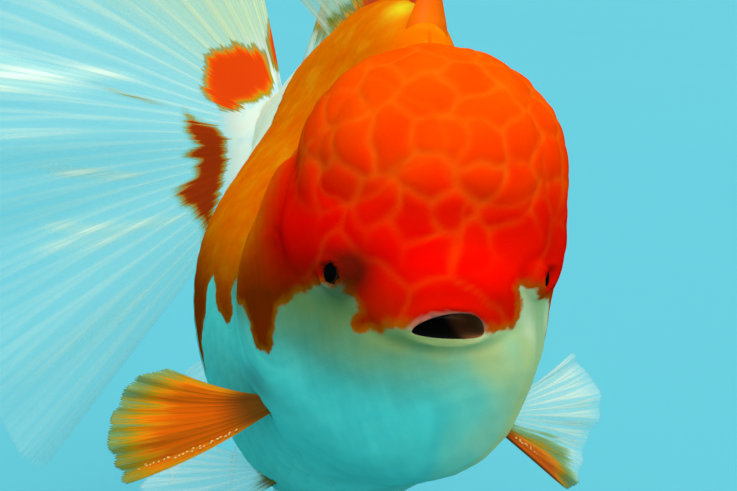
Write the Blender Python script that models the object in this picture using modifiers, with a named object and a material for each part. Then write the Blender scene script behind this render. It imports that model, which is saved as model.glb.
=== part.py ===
"""Fancy goldfish (red-and-white oranda) as a life-size still model on a plain display stand.

Metres, +Z up. The nose points towards -Y, the fish's left side is +X, and the origin is the
middle of the underside of the stand's base. The fish is drawn straight in a frame of its own
(x to its left, y from the mouth to the tail, z up, millimetres), then posed as a whole: it
rolls a little to its left and its tail root bends to its right.
"""
import math

import bmesh
import bpy
import numpy as np

# ---- driving dimensions, millimetres unless said ----
MM = 0.001
GAP = 0.3                      # clearance between neighbouring solids
BODY_GRID = 5.0                # size of the body's faces
EYE_RADIUS = 3.8
FIN_THICK = 0.7
STEM_CUT, TRUNK_CUT = 98.0, 38.0   # distances behind the mouth where the body is divided
ROLL_HEAD, ROLL_TRUNK = 3.0, 13.0  # degrees, the top leans to the fish's left
BEND_START, BEND_END, BEND_RADIUS = 5.0, 122.0, 500.0
MOUTH_HEIGHT = 100.0           # mouth above the floor
MOUTH_Y = -62.0                # mouth ahead of the base's middle
BASE_SIZE = (112.0, 150.0, 10.0)
ROD_RADIUS = 2.5
ROD_Y = (38.0, 80.0)           # rods' distances behind the mouth

# name, centre, radii, blend with what comes before it; a centre more than 1 off the middle is
# a mirrored pair
FORMS = [
    ("belly", (0, 57, -8), (25.8, 42, 27), 0),
    ("keel", (0, 57, -20), (18, 33, 25.5), 12),
    ("back", (0, 60, 12), (13, 40, 33), 14),
    ("stem", (0, 94, 12), (6.5, 32, 13), 14),
    ("skull", (0, 24, -2), (20.5, 24, 21), 8),
    ("throat", (0, 24, -15), (17.5, 21, 15), 9),
    ("cheek", (10.5, 31, -2), (14.5, 15, 22), 6),
    ("temple", (9.5, 25, 11), (13.5, 14, 15), 6),
    ("bridge", (0, 9.5, 6), (14, 10.5, 15), 5),
    ("snout", (0, 5, 3), (10, 7.5, 6.5), 6),
    ("chin", (0, 9, -7), (14, 10, 8), 7),
    ("wen", (0.2, 17, 19.6), (21.2, 18.5, 19.4), 3),
    ("wen_side", (11.5, 16, 9), (9.5, 12, 9), 6),
]


# ---- clean start ----
for old in list(bpy.data.objects):
    bpy.data.objects.remove(old, do_unlink=True)

parts = bpy.data.collections.new("fancy_goldfish")
cutters = bpy.data.collections.new("cutters")
bpy.context.scene.collection.children.link(parts)
bpy.context.scene.collection.children.link(cutters)


# ---- the fish's form and pose ----
def ellipsoid(p, centre, radii):
    """Rough distance from points p to an ellipsoid, negative inside."""
    q = p - np.array(centre, float)
    r = np.array(radii, float)
    k0 = np.sqrt(((q / r) ** 2).sum(-1)) + 1e-9
    k1 = np.sqrt(((q / r ** 2) ** 2).sum(-1)) + 1e-9
    return k0 * (k0 - 1.0) / k1


def blend(a, b, k):
    h = np.clip(0.5 + 0.5 * (b - a) / k, 0.0, 1.0)
    return b * (1 - h) + a * h - k * h * (1 - h)


def body_field(p):
    """Distance from points p to the smooth body made of all the forms."""
    p = np.asarray(p, float)
    side = p.copy()
    side[..., 0] = np.abs(side[..., 0])
    d = None
    for _, centre, radii, k in FORMS:
        e = ellipsoid(side if centre[0] > 1 else p, centre, radii)
        d = e if d is None else blend(d, e, k)
    return d


def pose(p):
    """Bend the tail end to the fish's right along an arc, then roll the fish about the mouth."""
    p = np.array(p, float)
    x, y, z = p[..., 0], p[..., 1], p[..., 2]
    arc = np.clip(y - BEND_START, 0, BEND_END - BEND_START)
    past = np.maximum(y - BEND_END, 0)
    a = arc / BEND_RADIUS
    x2 = (x + BEND_RADIUS) * np.cos(a) - BEND_RADIUS - past * np.sin(a)
    y2 = np.minimum(y, BEND_START) + (x + BEND_RADIUS) * np.sin(a) + past * np.cos(a)
    t = np.clip((y - 5) / 50.0, 0, 1)
    r = np.radians(ROLL_HEAD + (ROLL_TRUNK - ROLL_HEAD) * t * t * (3 - 2 * t))
    return np.stack([x2 * np.cos(r) + z * np.sin(r), y2, -x2 * np.sin(r) + z * np.cos(r)], -1)


def to_world(p):
    return (pose(p) + np.array([0.0, MOUTH_Y, MOUTH_HEIGHT])) * MM


def skin_point(start, direction, depth=0.0):
    """Where a ray from inside the body leaves it, moved back inwards by depth."""
    start = np.array(start, float)
    d = np.array(direction, float)
    d /= np.linalg.norm(d)
    lo, hi = 0.0, 90.0
    for t in np.arange(0.0, 90.0, 1.0):
        if body_field(start + t * d) > 0:
            lo, hi = t - 1.0, t
            break
    for _ in range(24):
        mid = 0.5 * (lo + hi)
        if body_field(start + mid * d) > 0:
            hi = mid
        else:
            lo = mid
    return start + (lo - depth) * d


# ---- small makers ----
def material(name, colour, roughness=0.45, alpha=1.0, metallic=0.0):
    mat = bpy.data.materials.new(name)
    mat.use_nodes = True
    shader = mat.node_tree.nodes["Principled BSDF"]
    rgb = [int(colour[i:i + 2], 16) / 255.0 for i in (1, 3, 5)]
    linear = [c / 12.92 if c <= 0.04045 else ((c + 0.055) / 1.055) ** 2.4 for c in rgb]
    shader.inputs["Base Color"].default_value = (*linear, 1.0)
    shader.inputs["Roughness"].default_value = roughness
    shader.inputs["Metallic"].default_value = metallic
    shader.inputs["Alpha"].default_value = alpha
    mat.diffuse_color = (*linear, 1.0)
    return mat


def add_object(name, mesh, collection, mat=None):
    obj = bpy.data.objects.new(name, mesh)
    collection.objects.link(obj)
    if mat is not None:
        mesh.materials.clear()
        mesh.materials.append(mat)
    if collection is cutters:
        obj.hide_render = True
        obj.display_type = 'WIRE'
    return obj


def move_vertices(mesh, function):
    """Run every vertex of a mesh through a function of an (n, 3) array."""
    co = np.empty(len(mesh.vertices) * 3)
    mesh.vertices.foreach_get("co", co)
    mesh.vertices.foreach_set("co", np.ascontiguousarray(function(co.reshape(-1, 3))).ravel())
    mesh.update()


def posed_ellipsoid(name, centre, radii, segments=22, rings=12, grow=0.0):
    """A cutter: an ellipsoid in the fish's frame, posed with the fish."""
    bm = bmesh.new()
    bmesh.ops.create_uvsphere(bm, u_segments=segments, v_segments=rings, radius=1.0)
    mesh = bpy.data.meshes.new(name)
    bm.to_mesh(mesh)
    bm.free()
    r = np.array(radii, float) + grow
    move_vertices(mesh, lambda p: to_world(p * r + np.array(centre, float)))
    return add_object(name, mesh, cutters)


def posed_block(name, y_from, y_to):
    """A cutter: all of the fish between two distances behind the mouth."""
    bm = bmesh.new()
    bmesh.ops.create_cube(bm, size=1.0)
    mesh = bpy.data.meshes.new(name)
    bm.to_mesh(mesh)
    bm.free()
    size = np.array([130.0, y_to - y_from, 170.0])
    middle = np.array([0.0, 0.5 * (y_from + y_to), 0.0])
    move_vertices(mesh, lambda p: to_world(p * size + middle))
    return add_object(name, mesh, cutters)


def cut(obj, cutter, operation='DIFFERENCE'):
    mod = obj.modifiers.new(operation.lower() + "_" + cutter.name, 'BOOLEAN')
    mod.operation = operation
    mod.object = cutter
    mod.solver = 'EXACT'
    return mod


def body_mesh(name, offset=0.0):
    """The whole body as one even mesh: spheres joined by a voxel remesh, then drawn onto the
    smooth blend of the forms, offset outwards by a clearance where one is given."""
    bm = bmesh.new()
    for _, centre, radii, _ in FORMS:
        for sx in ((1, -1) if centre[0] > 1 else (1,)):
            ball = bmesh.ops.create_uvsphere(bm, u_segments=32, v_segments=20, radius=1.0)["verts"]
            for v in ball:
                v.co.x = v.co.x * radii[0] + sx * centre[0]
                v.co.y = v.co.y * radii[1] + centre[1]
                v.co.z = v.co.z * radii[2] + centre[2]
    raw = bpy.data.meshes.new(name + "_raw")
    bm.to_mesh(raw)
    bm.free()
    lump = add_object(name + "_raw", raw, cutters)
    remesh = lump.modifiers.new("Remesh", 'REMESH')
    remesh.mode = 'VOXEL'
    remesh.voxel_size = BODY_GRID
    remesh.adaptivity = 0.0
    bpy.context.view_layer.update()
    graph = bpy.context.evaluated_depsgraph_get()
    mesh = bpy.data.meshes.new_from_object(lump.evaluated_get(graph))
    mesh.name = name
    bpy.data.objects.remove(lump, do_unlink=True)
    edges = np.empty(len(mesh.edges) * 2, int)
    mesh.edges.foreach_get("vertices", edges)
    edges = edges.reshape(-1, 2)

    def settle(p):
        p = p.copy()
        for _ in range(8):
            f = body_field(p) - offset
            g = np.stack([body_field(p + s) - body_field(p - s) for s in np.eye(3) * 0.05], -1) / 0.1
            p -= (f / np.maximum((g * g).sum(-1), 0.2))[:, None] * g
        return p

    def relax_onto_form(p):
        count = np.bincount(edges.ravel(), minlength=len(p))[:, None]
        for _ in range(12):
            near = np.zeros_like(p)
            np.add.at(near, edges[:, 0], p[edges[:, 1]])
            np.add.at(near, edges[:, 1], p[edges[:, 0]])
            p = settle(0.5 * p + 0.5 * near / count)
        return to_world(p)

    move_vertices(mesh, relax_onto_form)
    for face in mesh.polygons:
        face.use_smooth = True
    return mesh


def smooth_bend(values, u):
    """Read a short list of values at u from 0 to 1 along a smooth curve through them."""
    values = np.array(values, float)
    n = len(values) - 1
    s = np.clip(u, 0, 1) * n
    i = np.clip(s.astype(int), 0, n - 1)
    t = s - i
    pick = lambda k: values[np.clip(k, 0, n)]
    shape = (-1,) + (1,) * (values.ndim - 1)
    t = t.reshape(shape)
    a, b, c, d = pick(i - 1), pick(i), pick(i + 1), pick(i + 2)
    return 0.5 * (2 * b + (c - a) * t + (2 * a - 5 * b + 4 * c - d) * t ** 2
                  + (3 * b - a - 3 * c + d) * t ** 3)


def fin(name, roots, rays, lengths, sweep, ruffle, waves, mat, across=14, along=7, phase=0.0):
    """A fin: a sheet of rays that fan out from a root line, with thickness.

    roots are points along the root, rays are directions along it, lengths are the rays'
    lengths, sweep is added with the square of the distance along a ray, and ruffle is the
    height of the waves in the free edge."""
    grid = bmesh.new()
    bmesh.ops.create_grid(grid, x_segments=across, y_segments=along, size=0.5)
    mesh = bpy.data.meshes.new(name)
    grid.to_mesh(mesh)
    grid.free()

    def lay(p):
        u, v = p[:, 0] + 0.5, p[:, 1] + 0.5
        d = smooth_bend(rays, u)
        d /= np.linalg.norm(d, axis=1)[:, None]
        e = smooth_bend(rays, np.clip(u + 0.02, 0, 1)) - smooth_bend(rays, np.clip(u - 0.02, 0, 1))
        normal = np.cross(d, e)
        normal /= np.linalg.norm(normal, axis=1)[:, None] + 1e-9
        out = smooth_bend(roots, u) + d * (smooth_bend(lengths, u) * v)[:, None]
        out += np.array(sweep, float) * (v ** 2)[:, None]
        wave = ruffle * v ** 1.6 * np.sin(2 * math.pi * waves * u + phase)
        return to_world(out + normal * wave[:, None])

    move_vertices(mesh, lay)
    for face in mesh.polygons:
        face.use_smooth = True
    obj = add_object(name, mesh, parts, mat)
    thick = obj.modifiers.new("Solidify", 'SOLIDIFY')
    thick.thickness = FIN_THICK * MM
    thick.offset = 0.0
    cut(obj, clearance)
    return obj


# ---- materials ----
wen_red = material("wen_orange_red", "#F04000")
face_white = material("jaw_pale_white", "#DDE8E2")
face_red = material("face_red", "#D03008")
cover_red = material("gill_cover_red", "#B8300C")
back_orange = material("trunk_orange", "#F07818")
stem_white = material("tail_stem_white", "#E2ECEA")
eye_black = material("eye_black", "#120C0A", 0.1)
fin_orange = material("fin_orange", "#E08020", 0.4)
fin_white = material("fin_translucent_white", "#D5E6E0", 0.4)
base_finish = material("stand_base_matt_black", "#1E1F21", 0.5)
rod_finish = material("stand_rod_steel", "#B8BBBE", 0.3, metallic=1.0)

# ---- cutters ----
clearance = add_object("body_clearance", body_mesh("body_clearance", GAP), cutters)
front = posed_block("front_block", -30.0, TRUNK_CUT - GAP / 2)
middle = posed_block("middle_block", TRUNK_CUT + GAP / 2, STEM_CUT - GAP / 2)
rear = posed_block("rear_block", STEM_CUT + GAP / 2, 160.0)
WEN_CUT = ((0, 14, 27), (30, 22.5, 20))
JAW_CUT = ((0, 1.5, -9.6), (14.5, 12.5, 9.2))
wen_form = posed_ellipsoid("wen_form", *WEN_CUT)
wen_space = posed_ellipsoid("wen_space", *WEN_CUT, grow=GAP)
jaw_form = posed_ellipsoid("jaw_form", *JAW_CUT, 18, 10)
jaw_space = posed_ellipsoid("jaw_space", *JAW_CUT, 18, 10, GAP)
mouth_space = posed_ellipsoid("mouth_space", (0, 0.5, -0.3), (5.6, 7.5, 2.1), 14, 8)
gill_forms, gill_spaces, sockets, eye_centres = {}, {}, {}, {}
for side, sx in (("left", 1), ("right", -1)):
    gill = ((sx * 27, 22.5, 2), (12.5, 14.5, 20.5))
    gill_forms[side] = posed_ellipsoid("gill_form_" + side, *gill, 18, 10)
    gill_spaces[side] = posed_ellipsoid("gill_space_" + side, *gill, 18, 10, GAP)
    forward = {"left": -0.5, "right": -0.42}[side]
    eye_centres[side] = skin_point((0, 12, 4.2), (sx, forward, 0.12), EYE_RADIUS * 0.82)
    ball = (EYE_RADIUS + GAP,) * 3
    sockets[side] = posed_ellipsoid("socket_" + side, eye_centres[side], ball, 14, 9)

# ---- body pieces: one body divided by thin cuts ----
body = body_mesh("body")


def body_piece(name, mat, keep, away=()):
    obj = add_object(name, body.copy(), parts, mat)
    cut(obj, keep, 'INTERSECT')
    for cutter in away:
        cut(obj, cutter)
    return obj


body_piece("wen", wen_red, wen_form)
body_piece("jaw", face_white, jaw_form, [mouth_space])
body_piece("head", face_red, front,
           [wen_space, jaw_space, mouth_space, *gill_spaces.values(), *sockets.values()])
body_piece("trunk", back_orange, middle)
body_piece("tail_stem", stem_white, rear)
for side in ("left", "right"):
    body_piece("gill_cover_" + side, cover_red, gill_forms[side], [wen_space, sockets[side]])

# ---- eyes ----
for side in ("left", "right"):
    bm = bmesh.new()
    bmesh.ops.create_uvsphere(bm, u_segments=14, v_segments=10, radius=EYE_RADIUS)
    mesh = bpy.data.meshes.new("eye_" + side)
    bm.to_mesh(mesh)
    bm.free()
    move_vertices(mesh, lambda p: to_world(p + eye_centres[side]))
    for face in mesh.polygons:
        face.use_smooth = True
    add_object("eye_" + side, mesh, parts, eye_black)

# ---- fins ----
ridge = [skin_point((0, y, 10), (0, 0, 1), 3.5) for y in (42, 52, 63, 75, 88)]
fin("dorsal_fin", ridge,
    [(-0.05, 0.22, 1), (-0.30, 0.45, 1), (-0.42, 0.75, 0.9), (-0.40, 1.0, 0.6)],
    [46, 50, 44, 36, 26], (0, 6, 0), 1.5, 1.5, fin_orange, 13, 6)

for side, sx in (("left", 1), ("right", -1)):
    base = [skin_point((0, 27, z), (sx, 0.1, -0.25), 2.5) for z in (-17.0, -15.4)]
    rays = {"right": [(-0.66, 0.39, -0.83), (-0.75, 0.48, -0.50), (-0.73, 0.54, -0.20)],
            "left": [(0.92, 0.42, -0.55), (0.98, 0.50, -0.12), (0.92, 0.60, 0.34)]}[side]
    lengths = {"right": [32, 31.5, 30, 28, 24.5, 18], "left": [32, 33, 34, 34, 31, 27]}[side]
    fin("pectoral_fin_" + side, base, rays, lengths, (0, 3, 2), 1.0, 2.0, fin_orange, 10, 5)
    pelvic = [skin_point((0, y, -20), (sx * 0.45, 0, -1), 3.0) for y in (44, 51)]
    fin("pelvic_fin_" + side, pelvic,
        [(sx * 0.50, 0.40, -0.75), (sx * 0.50, 0.80, -0.50), (sx * 0.30, 1.0, -0.20)],
        [34, 32, 25], (0, 5, 0), 1.2, 1.5, fin_white, 8, 4)
    anal = [skin_point((0, y, 2), (sx * 0.25, 0, -1), 2.5) for y in (84, 91)]
    fin("anal_fin_" + side, anal,
        [(sx * 0.26, 0.15, -0.95), (sx * 0.30, 0.38, -0.85), (sx * 0.26, 0.62, -0.65)],
        [27, 25, 18], (0, 3, -1), 1.0, 1.5, fin_white, 7, 4)
    tail = [(sx * 1.6, 116, 20.5), (sx * 2.0, 115, 15), (sx * 2.6, 112, 9), (sx * 3.4, 108, 3)]
    rays = [(sx * 0.28, 0.38, 0.88), (sx * 0.64, 0.56, 0.39), (sx * 0.80, 0.62, -0.13),
            (sx * 0.58, 0.57, -0.52), (sx * 0.24, 0.46, -0.89)]
    lengths = [90, {"left": 77, "right": 87}[side], 68, 72, 82]
    fin("tail_fin_" + side, tail, rays, lengths, (0, 6, -6), 4.0, 2.5, fin_white, 18, 6)

# ---- stand ----
bm = bmesh.new()
bmesh.ops.create_cube(bm, size=1.0)
plate = bpy.data.meshes.new("stand_base")
bm.to_mesh(plate)
bm.free()
move_vertices(plate, lambda p: (p * np.array(BASE_SIZE) + np.array([0, 0, BASE_SIZE[2] / 2])) * MM)
base = add_object("stand_base", plate, parts, base_finish)
soften = base.modifiers.new("Bevel", 'BEVEL')
soften.width = 1.5 * MM
soften.segments = 3
for name, y in (("stand_rod_front", ROD_Y[0]), ("stand_rod_rear", ROD_Y[1])):
    foot = BASE_SIZE[2] + GAP
    top = MOUTH_HEIGHT - 20.0
    bm = bmesh.new()
    bmesh.ops.create_cone(bm, segments=24, radius1=ROD_RADIUS, radius2=ROD_RADIUS,
                          depth=top - foot, cap_ends=True)
    mesh = bpy.data.meshes.new(name)
    bm.to_mesh(mesh)
    bm.free()
    at = pose(np.array([0.0, y, -30.0]))
    shift = np.array([at[0], at[1] + MOUTH_Y, 0.5 * (top + foot)])
    move_vertices(mesh, lambda p: (p + shift) * MM)
    rod = add_object(name, mesh, parts, rod_finish)
    rod.data.shade_smooth()
    rod.data.set_sharp_from_angle(angle=math.radians(40))
    cut(rod, clearance)
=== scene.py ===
import math

import bmesh
import bpy
import numpy as np
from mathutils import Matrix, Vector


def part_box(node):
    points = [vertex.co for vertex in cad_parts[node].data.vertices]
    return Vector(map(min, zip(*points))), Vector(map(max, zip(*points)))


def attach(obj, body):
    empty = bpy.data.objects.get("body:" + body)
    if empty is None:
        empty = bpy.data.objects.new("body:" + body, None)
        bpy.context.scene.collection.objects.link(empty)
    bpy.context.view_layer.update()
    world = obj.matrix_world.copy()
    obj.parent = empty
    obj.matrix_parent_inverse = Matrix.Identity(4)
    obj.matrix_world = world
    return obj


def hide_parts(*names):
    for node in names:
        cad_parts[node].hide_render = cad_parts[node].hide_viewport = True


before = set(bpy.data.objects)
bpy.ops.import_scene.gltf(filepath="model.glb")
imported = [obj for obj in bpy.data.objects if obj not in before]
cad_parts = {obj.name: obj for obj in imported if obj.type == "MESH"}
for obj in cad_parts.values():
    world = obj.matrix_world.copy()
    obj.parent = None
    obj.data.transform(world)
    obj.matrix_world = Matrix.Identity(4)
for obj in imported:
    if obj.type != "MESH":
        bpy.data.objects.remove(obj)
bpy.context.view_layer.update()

# ---- the fish's skin ----
# One skin over head, wen, jaw, gill covers, trunk and tail stem: the raspberry-like hood of fatty lobes, the
# folds round the sunken eyes, the gill covers' edges and the open mouth, its lining darkened with painted
# shade.
# It is modelled straight, in millimetres from the middle of the mouth, and posed when finished.
MM = 0.001
MOUTH_Y, MOUTH_HEIGHT = -62.0, 100.0   # ahead of the base's middle, and above the floor
ROLL_HEAD, ROLL_TRUNK = 3.0, 13.0      # degrees, the top leans to the fish's left
BEND_START, BEND_END, BEND_RADIUS = 5.0, 122.0, 500.0
SKIN_DEPTH = 0.3               # the coat of scales lies in this depth
SKIN_VOXEL = 2.4               # face size before the two subdivisions
EYE_RADIUS, LID_REACH = 3.8, 3.5       # the ball, and how far round it the skin gives way
LID_ANGLE = 27.0                       # degrees off the eye's axis that the lids open
GILL = (27.0, 23.0, 2.0), (12.5, 15.5, 20.5)   # the left gill cover: centre and radii
LOBE_RELIEF, BULGE_RELIEF = 0.36, 0.36  # heights of the hood's lobes and of the bulges under them
LOBE_DOME, BULGE_DOME = (0.4472, 2.3, 2.2), (0.8944, 5.0, 2.0)    # blunt groove, radius, roundness
HOOD_GROOVE, GILL_GROOVE, CHEEK_GROOVE = 0.4, 0.6, 0.12
LIP_RIM, CHIN_CREASE, CHIN_DIMPLE = 0.6, 0.35, 0.3
LOBE_SPACING, FOLD_SPACING = 5.5, 13.0  # between lobes, and between the bigger bulges
MOUTH_MIDDLE, MOUTH_HALF, MOUTH_DEEP = (-0.5, -0.75), 5.5, 9.0
LIP_RISE, LIP_DROP = 3.0, 1.1          # how far the lips open above and below the middle

# name, centre, radii, blend with what comes before it; a centre more than 1 off the middle is a
# mirrored pair
FORMS = [
    ("belly", (0, 57, -8), (25.8, 42, 27), 0),
    ("keel", (0, 57, -20), (18, 33, 25.5), 12),
    ("back", (0, 60, 12), (13, 40, 33), 14),
    ("stem", (0, 94, 12), (6.5, 32, 13), 14),
    ("skull", (0, 24, -2), (20.5, 24, 21), 8),
    ("throat", (0, 24, -15), (17.5, 21, 15), 9),
    ("cheek", (10.5, 31, -2), (14.5, 15, 22), 6),
    ("temple", (9.5, 25, 11), (13.5, 14, 15), 6),
    ("bridge", (0, 9.5, 6), (14, 10.5, 15), 5),
    ("snout", (0, 5, 3), (10, 7.5, 6.5), 6),
    ("chin", (0, 9, -7), (14, 10, 8), 7),
    ("wen", (0.2, 17, 19.6), (21.2, 18.5, 19.4), 3),
    ("wen_side", (11.5, 16, 9), (9.5, 12, 9), 6),
]

HOOD = ("bridge", "snout", "wen", "wen_side")

# the orange marking's edge: distance round the head and back along the flank from the middle of
# the face (fish's left positive), and height; the face, then each flank's fingers, then the back
MARKING = [
    (3.9, -1.0), (5.9, -0.8), (8.4, -1.4), (9.5, 0.4), (10.0, 2.4), (9.2, 4.9), (11.2, 4.7),
    (11.9, 3.0), (14.0, 2.2), (20, 1.2), (29, -1), (31, -6), (34, -9.5), (38, -8), (41, -4.5), (47, -4),
    (52, -8), (56, -11.5), (59, -8), (63, -7), (66, -13), (69, -19), (73, -15), (76, -4),
    (86, 2), (87, 14), (92, 21), (98, 28), (99, 80), (-99, 80), (-99, 30), (-96, 23.5),
    (-88, 17), (-90, 8), (-86, -3), (-79, -11), (-72, -22), (-68.5, -27), (-65.8, -19),
    (-62.5, -14.5), (-63, -9.9), (-61.5, -8), (-59.5, -9.5), (-56.5, -12), (-52, -13.6),
    (-48.8, -11.2), (-51.5, -7.4), (-50.5, -5.2), (-43, -6.3), (-38, -6.3), (-35, -10),
    (-33, -11.6), (-30.2, -11), (-28.5, -8.5), (-27.8, -3.1), (-23.4, 0.1), (-20, 1.6),
    (-15, 4.4), (-12.5, 4.6), (-12.3, 3.1), (-11, 1), (-12.4, -1.1), (-11.3, -2.6),
    (-8.9, -1.7), (-7.9, -1.9), (-7, -1), (-4.6, -0.5),
]


def ellipsoid(p, centre, radii):
    """Rough distance from points p to an ellipsoid, negative inside."""
    q = p - np.array(centre, float)
    r = np.array(radii, float)
    k0 = np.sqrt(((q / r) ** 2).sum(-1)) + 1e-9
    k1 = np.sqrt(((q / r ** 2) ** 2).sum(-1)) + 1e-9
    return k0 * (k0 - 1.0) / k1


def form_field(p, keep=lambda name: True):
    """Distance from points p to the smooth body made of the forms whose names are kept."""
    side = np.array(p, float)
    side[..., 0] = np.abs(side[..., 0])
    d = None
    for name, centre, radii, k in FORMS:
        if not keep(name):
            continue
        e = ellipsoid(side if centre[0] > 1 else p, centre, radii)
        if d is None:
            d = e
        else:
            h = np.clip(0.5 + 0.5 * (e - d) / k, 0.0, 1.0)
            d = e * (1 - h) + d * h - k * h * (1 - h)
    return d


def slope(p):
    """The body field's gradient, which points straight out of the body."""
    steps = np.eye(3) * 0.05
    return np.stack([form_field(p + s) - form_field(p - s) for s in steps], -1) / 0.1


def settle(p, depth=0.0, rounds=4):
    """Draw points onto the body's surface, sunk by a depth."""
    for _ in range(rounds):
        g = slope(p)
        p = p - ((form_field(p) + depth) / np.maximum((g * g).sum(-1), 0.2))[:, None] * g
    return p


def unit(v):
    return v / (np.linalg.norm(v, axis=-1, keepdims=True) + 1e-9)


def skin_point(start, direction, depth=0.0):
    """Where a ray from inside the body leaves it, moved back inwards by depth."""
    start = np.array(start, float)
    d = unit(np.array(direction, float))
    steps = np.arange(0.0, 90.0, 0.02)
    outside = form_field(start + steps[:, None] * d) > 0
    return start + (steps[np.argmax(outside)] - depth) * d


def pose(p):
    """Straight fish in millimetres to its place on the stand in metres: the tail end bends to
    the fish's right along an arc, and the whole rolls about the mouth."""
    x, y, z = p[..., 0], p[..., 1], p[..., 2]
    arc = np.clip(y - BEND_START, 0, BEND_END - BEND_START)
    past = np.maximum(y - BEND_END, 0)
    a = arc / BEND_RADIUS
    x2 = (x + BEND_RADIUS) * np.cos(a) - BEND_RADIUS - past * np.sin(a)
    y2 = np.minimum(y, BEND_START) + (x + BEND_RADIUS) * np.sin(a) + past * np.cos(a)
    t = np.clip((y - 5) / 50.0, 0, 1)
    r = np.radians(ROLL_HEAD + (ROLL_TRUNK - ROLL_HEAD) * t * t * (3 - 2 * t))
    out = np.stack([x2 * np.cos(r) + z * np.sin(r), y2, -x2 * np.sin(r) + z * np.cos(r)], -1)
    return (out + np.array([0.0, MOUTH_Y, MOUTH_HEIGHT])) * MM


def ease(x, low, high):
    """0 below low, 1 above high, smooth between."""
    t = np.clip((x - low) / (high - low), 0, 1)
    return t * t * (3 - 2 * t)


def swell(x, middle, width):
    """1 at the middle, falling smoothly to almost 0 at twice the width either side."""
    return np.exp(-((x - middle) / width) ** 2)


def blob(p, middle, size):
    """1 at a point, falling smoothly to 0 round it, with a size along each axis."""
    return np.exp(-(((p - np.array(middle)) / np.array(size)) ** 2).sum(1))


def wobble(p, size, seed):
    """Smooth seeded unevenness from about -1 to 1, with swells of a size in millimetres."""
    rng = np.random.default_rng(seed)
    total = np.zeros(p.shape[:-1])
    for _ in range(8):
        d = unit(rng.normal(size=p.shape[-1])) * 2 * math.pi / (size * rng.uniform(0.7, 1.5))
        total += np.sin(p @ d + rng.uniform(0, 2 * math.pi))
    return total / 2.8


def outline_depth(p, outline):
    """Signed distance from 2D points to a closed outline, positive inside."""
    a = np.array(outline, float)
    b = np.roll(a, -1, axis=0)
    nearest = np.full(len(p), 1e9)
    inside = np.zeros(len(p), bool)
    for (ax, ay), (bx, by) in zip(a, b):
        along = np.clip(((p[:, 0] - ax) * (bx - ax) + (p[:, 1] - ay) * (by - ay))
                        / ((bx - ax) ** 2 + (by - ay) ** 2 + 1e-9), 0, 1)
        gap = np.hypot(p[:, 0] - ax - along * (bx - ax), p[:, 1] - ay - along * (by - ay))
        nearest = np.minimum(nearest, gap)
        crosses = (ay > p[:, 1]) != (by > p[:, 1])
        at = ax + (p[:, 1] - ay) * (bx - ax) / (by - ay + 1e-12)
        inside ^= crosses & (p[:, 0] < at)
    return np.where(inside, nearest, -nearest)


def points_of(mesh):
    co = np.empty(len(mesh.vertices) * 3)
    mesh.vertices.foreach_get("co", co)
    return co.reshape(-1, 3)


def set_points(mesh, p):
    mesh.vertices.foreach_set("co", np.ascontiguousarray(p, float).ravel())
    mesh.update()


def set_values(mesh, name, values):
    layer = mesh.attributes.new(name, 'FLOAT', 'POINT')
    layer.data.foreach_set("value", np.ascontiguousarray(values, np.float32))


def show(name, mesh):
    obj = bpy.data.objects.new(name, mesh)
    bpy.context.scene.collection.objects.link(obj)
    return obj


def bake_mesh(obj, name):
    """The object's evaluated mesh as a plain mesh; the object is removed."""
    bpy.context.view_layer.update()
    graph = bpy.context.evaluated_depsgraph_get()
    mesh = bpy.data.meshes.new_from_object(obj.evaluated_get(graph))
    mesh.name = name
    bpy.data.objects.remove(obj, do_unlink=True)
    return mesh


def soften(mesh, values, rounds):
    """Even out values on a mesh's points towards their neighbours' average."""
    ends = np.empty(len(mesh.edges) * 2, int)
    mesh.edges.foreach_get("vertices", ends)
    ends = ends.reshape(-1, 2)
    wide = values.reshape(len(values), -1)
    count = np.bincount(ends.ravel(), minlength=len(wide))
    for _ in range(rounds):
        near = [np.bincount(ends[:, 0], column[ends[:, 1]], len(wide))
                + np.bincount(ends[:, 1], column[ends[:, 0]], len(wide)) for column in wide.T]
        wide = 0.5 * wide + 0.5 * np.stack(near, -1) / count[:, None]
    return wide.reshape(values.shape)


def skin_blank():
    """An even mesh of the whole body: spheres joined by a voxel remesh, drawn onto the forms."""
    bm = bmesh.new()
    for _, centre, radii, _ in FORMS:
        for side in ((1, -1) if centre[0] > 1 else (1,)):
            ball = bmesh.ops.create_uvsphere(bm, u_segments=32, v_segments=20, radius=1.0)
            for v in ball["verts"]:
                v.co.x = v.co.x * radii[0] + side * centre[0]
                v.co.y = v.co.y * radii[1] + centre[1]
                v.co.z = v.co.z * radii[2] + centre[2]
    mesh = bpy.data.meshes.new("skin_lump")
    bm.to_mesh(mesh)
    bm.free()
    lump = show("skin_lump", mesh)
    remesh = lump.modifiers.new("Remesh", 'REMESH')
    remesh.mode = 'VOXEL'
    remesh.voxel_size = SKIN_VOXEL
    mesh = bake_mesh(lump, "skin")
    p = points_of(mesh)
    for _ in range(8):
        p = settle(soften(mesh, p, 1), rounds=2)
    set_points(mesh, p)
    lump = show("skin_blank", mesh)
    smooth = lump.modifiers.new("Subdivision", 'SUBSURF')
    smooth.levels = smooth.render_levels = 2
    mesh = bake_mesh(lump, "skin")
    set_points(mesh, settle(points_of(mesh), rounds=3))
    return mesh


def wen_share(p):
    """How far inside the hood's own area a point of the surface lies, millimetres."""
    hood = form_field(p, lambda name: name in HOOD)
    rest = form_field(p, lambda name: name not in HOOD)
    return rest - hood


def sow(p, spacing, seed):
    """Points picked from p in a seeded order, none closer to another than the spacing."""
    free = np.ones(len(p), bool)
    picked = []
    for i in np.random.default_rng(seed).permutation(len(p)):
        if free[i]:
            picked.append(p[i])
            free &= ((p - p[i]) ** 2).sum(1) > spacing ** 2
    return np.array(picked)


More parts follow.
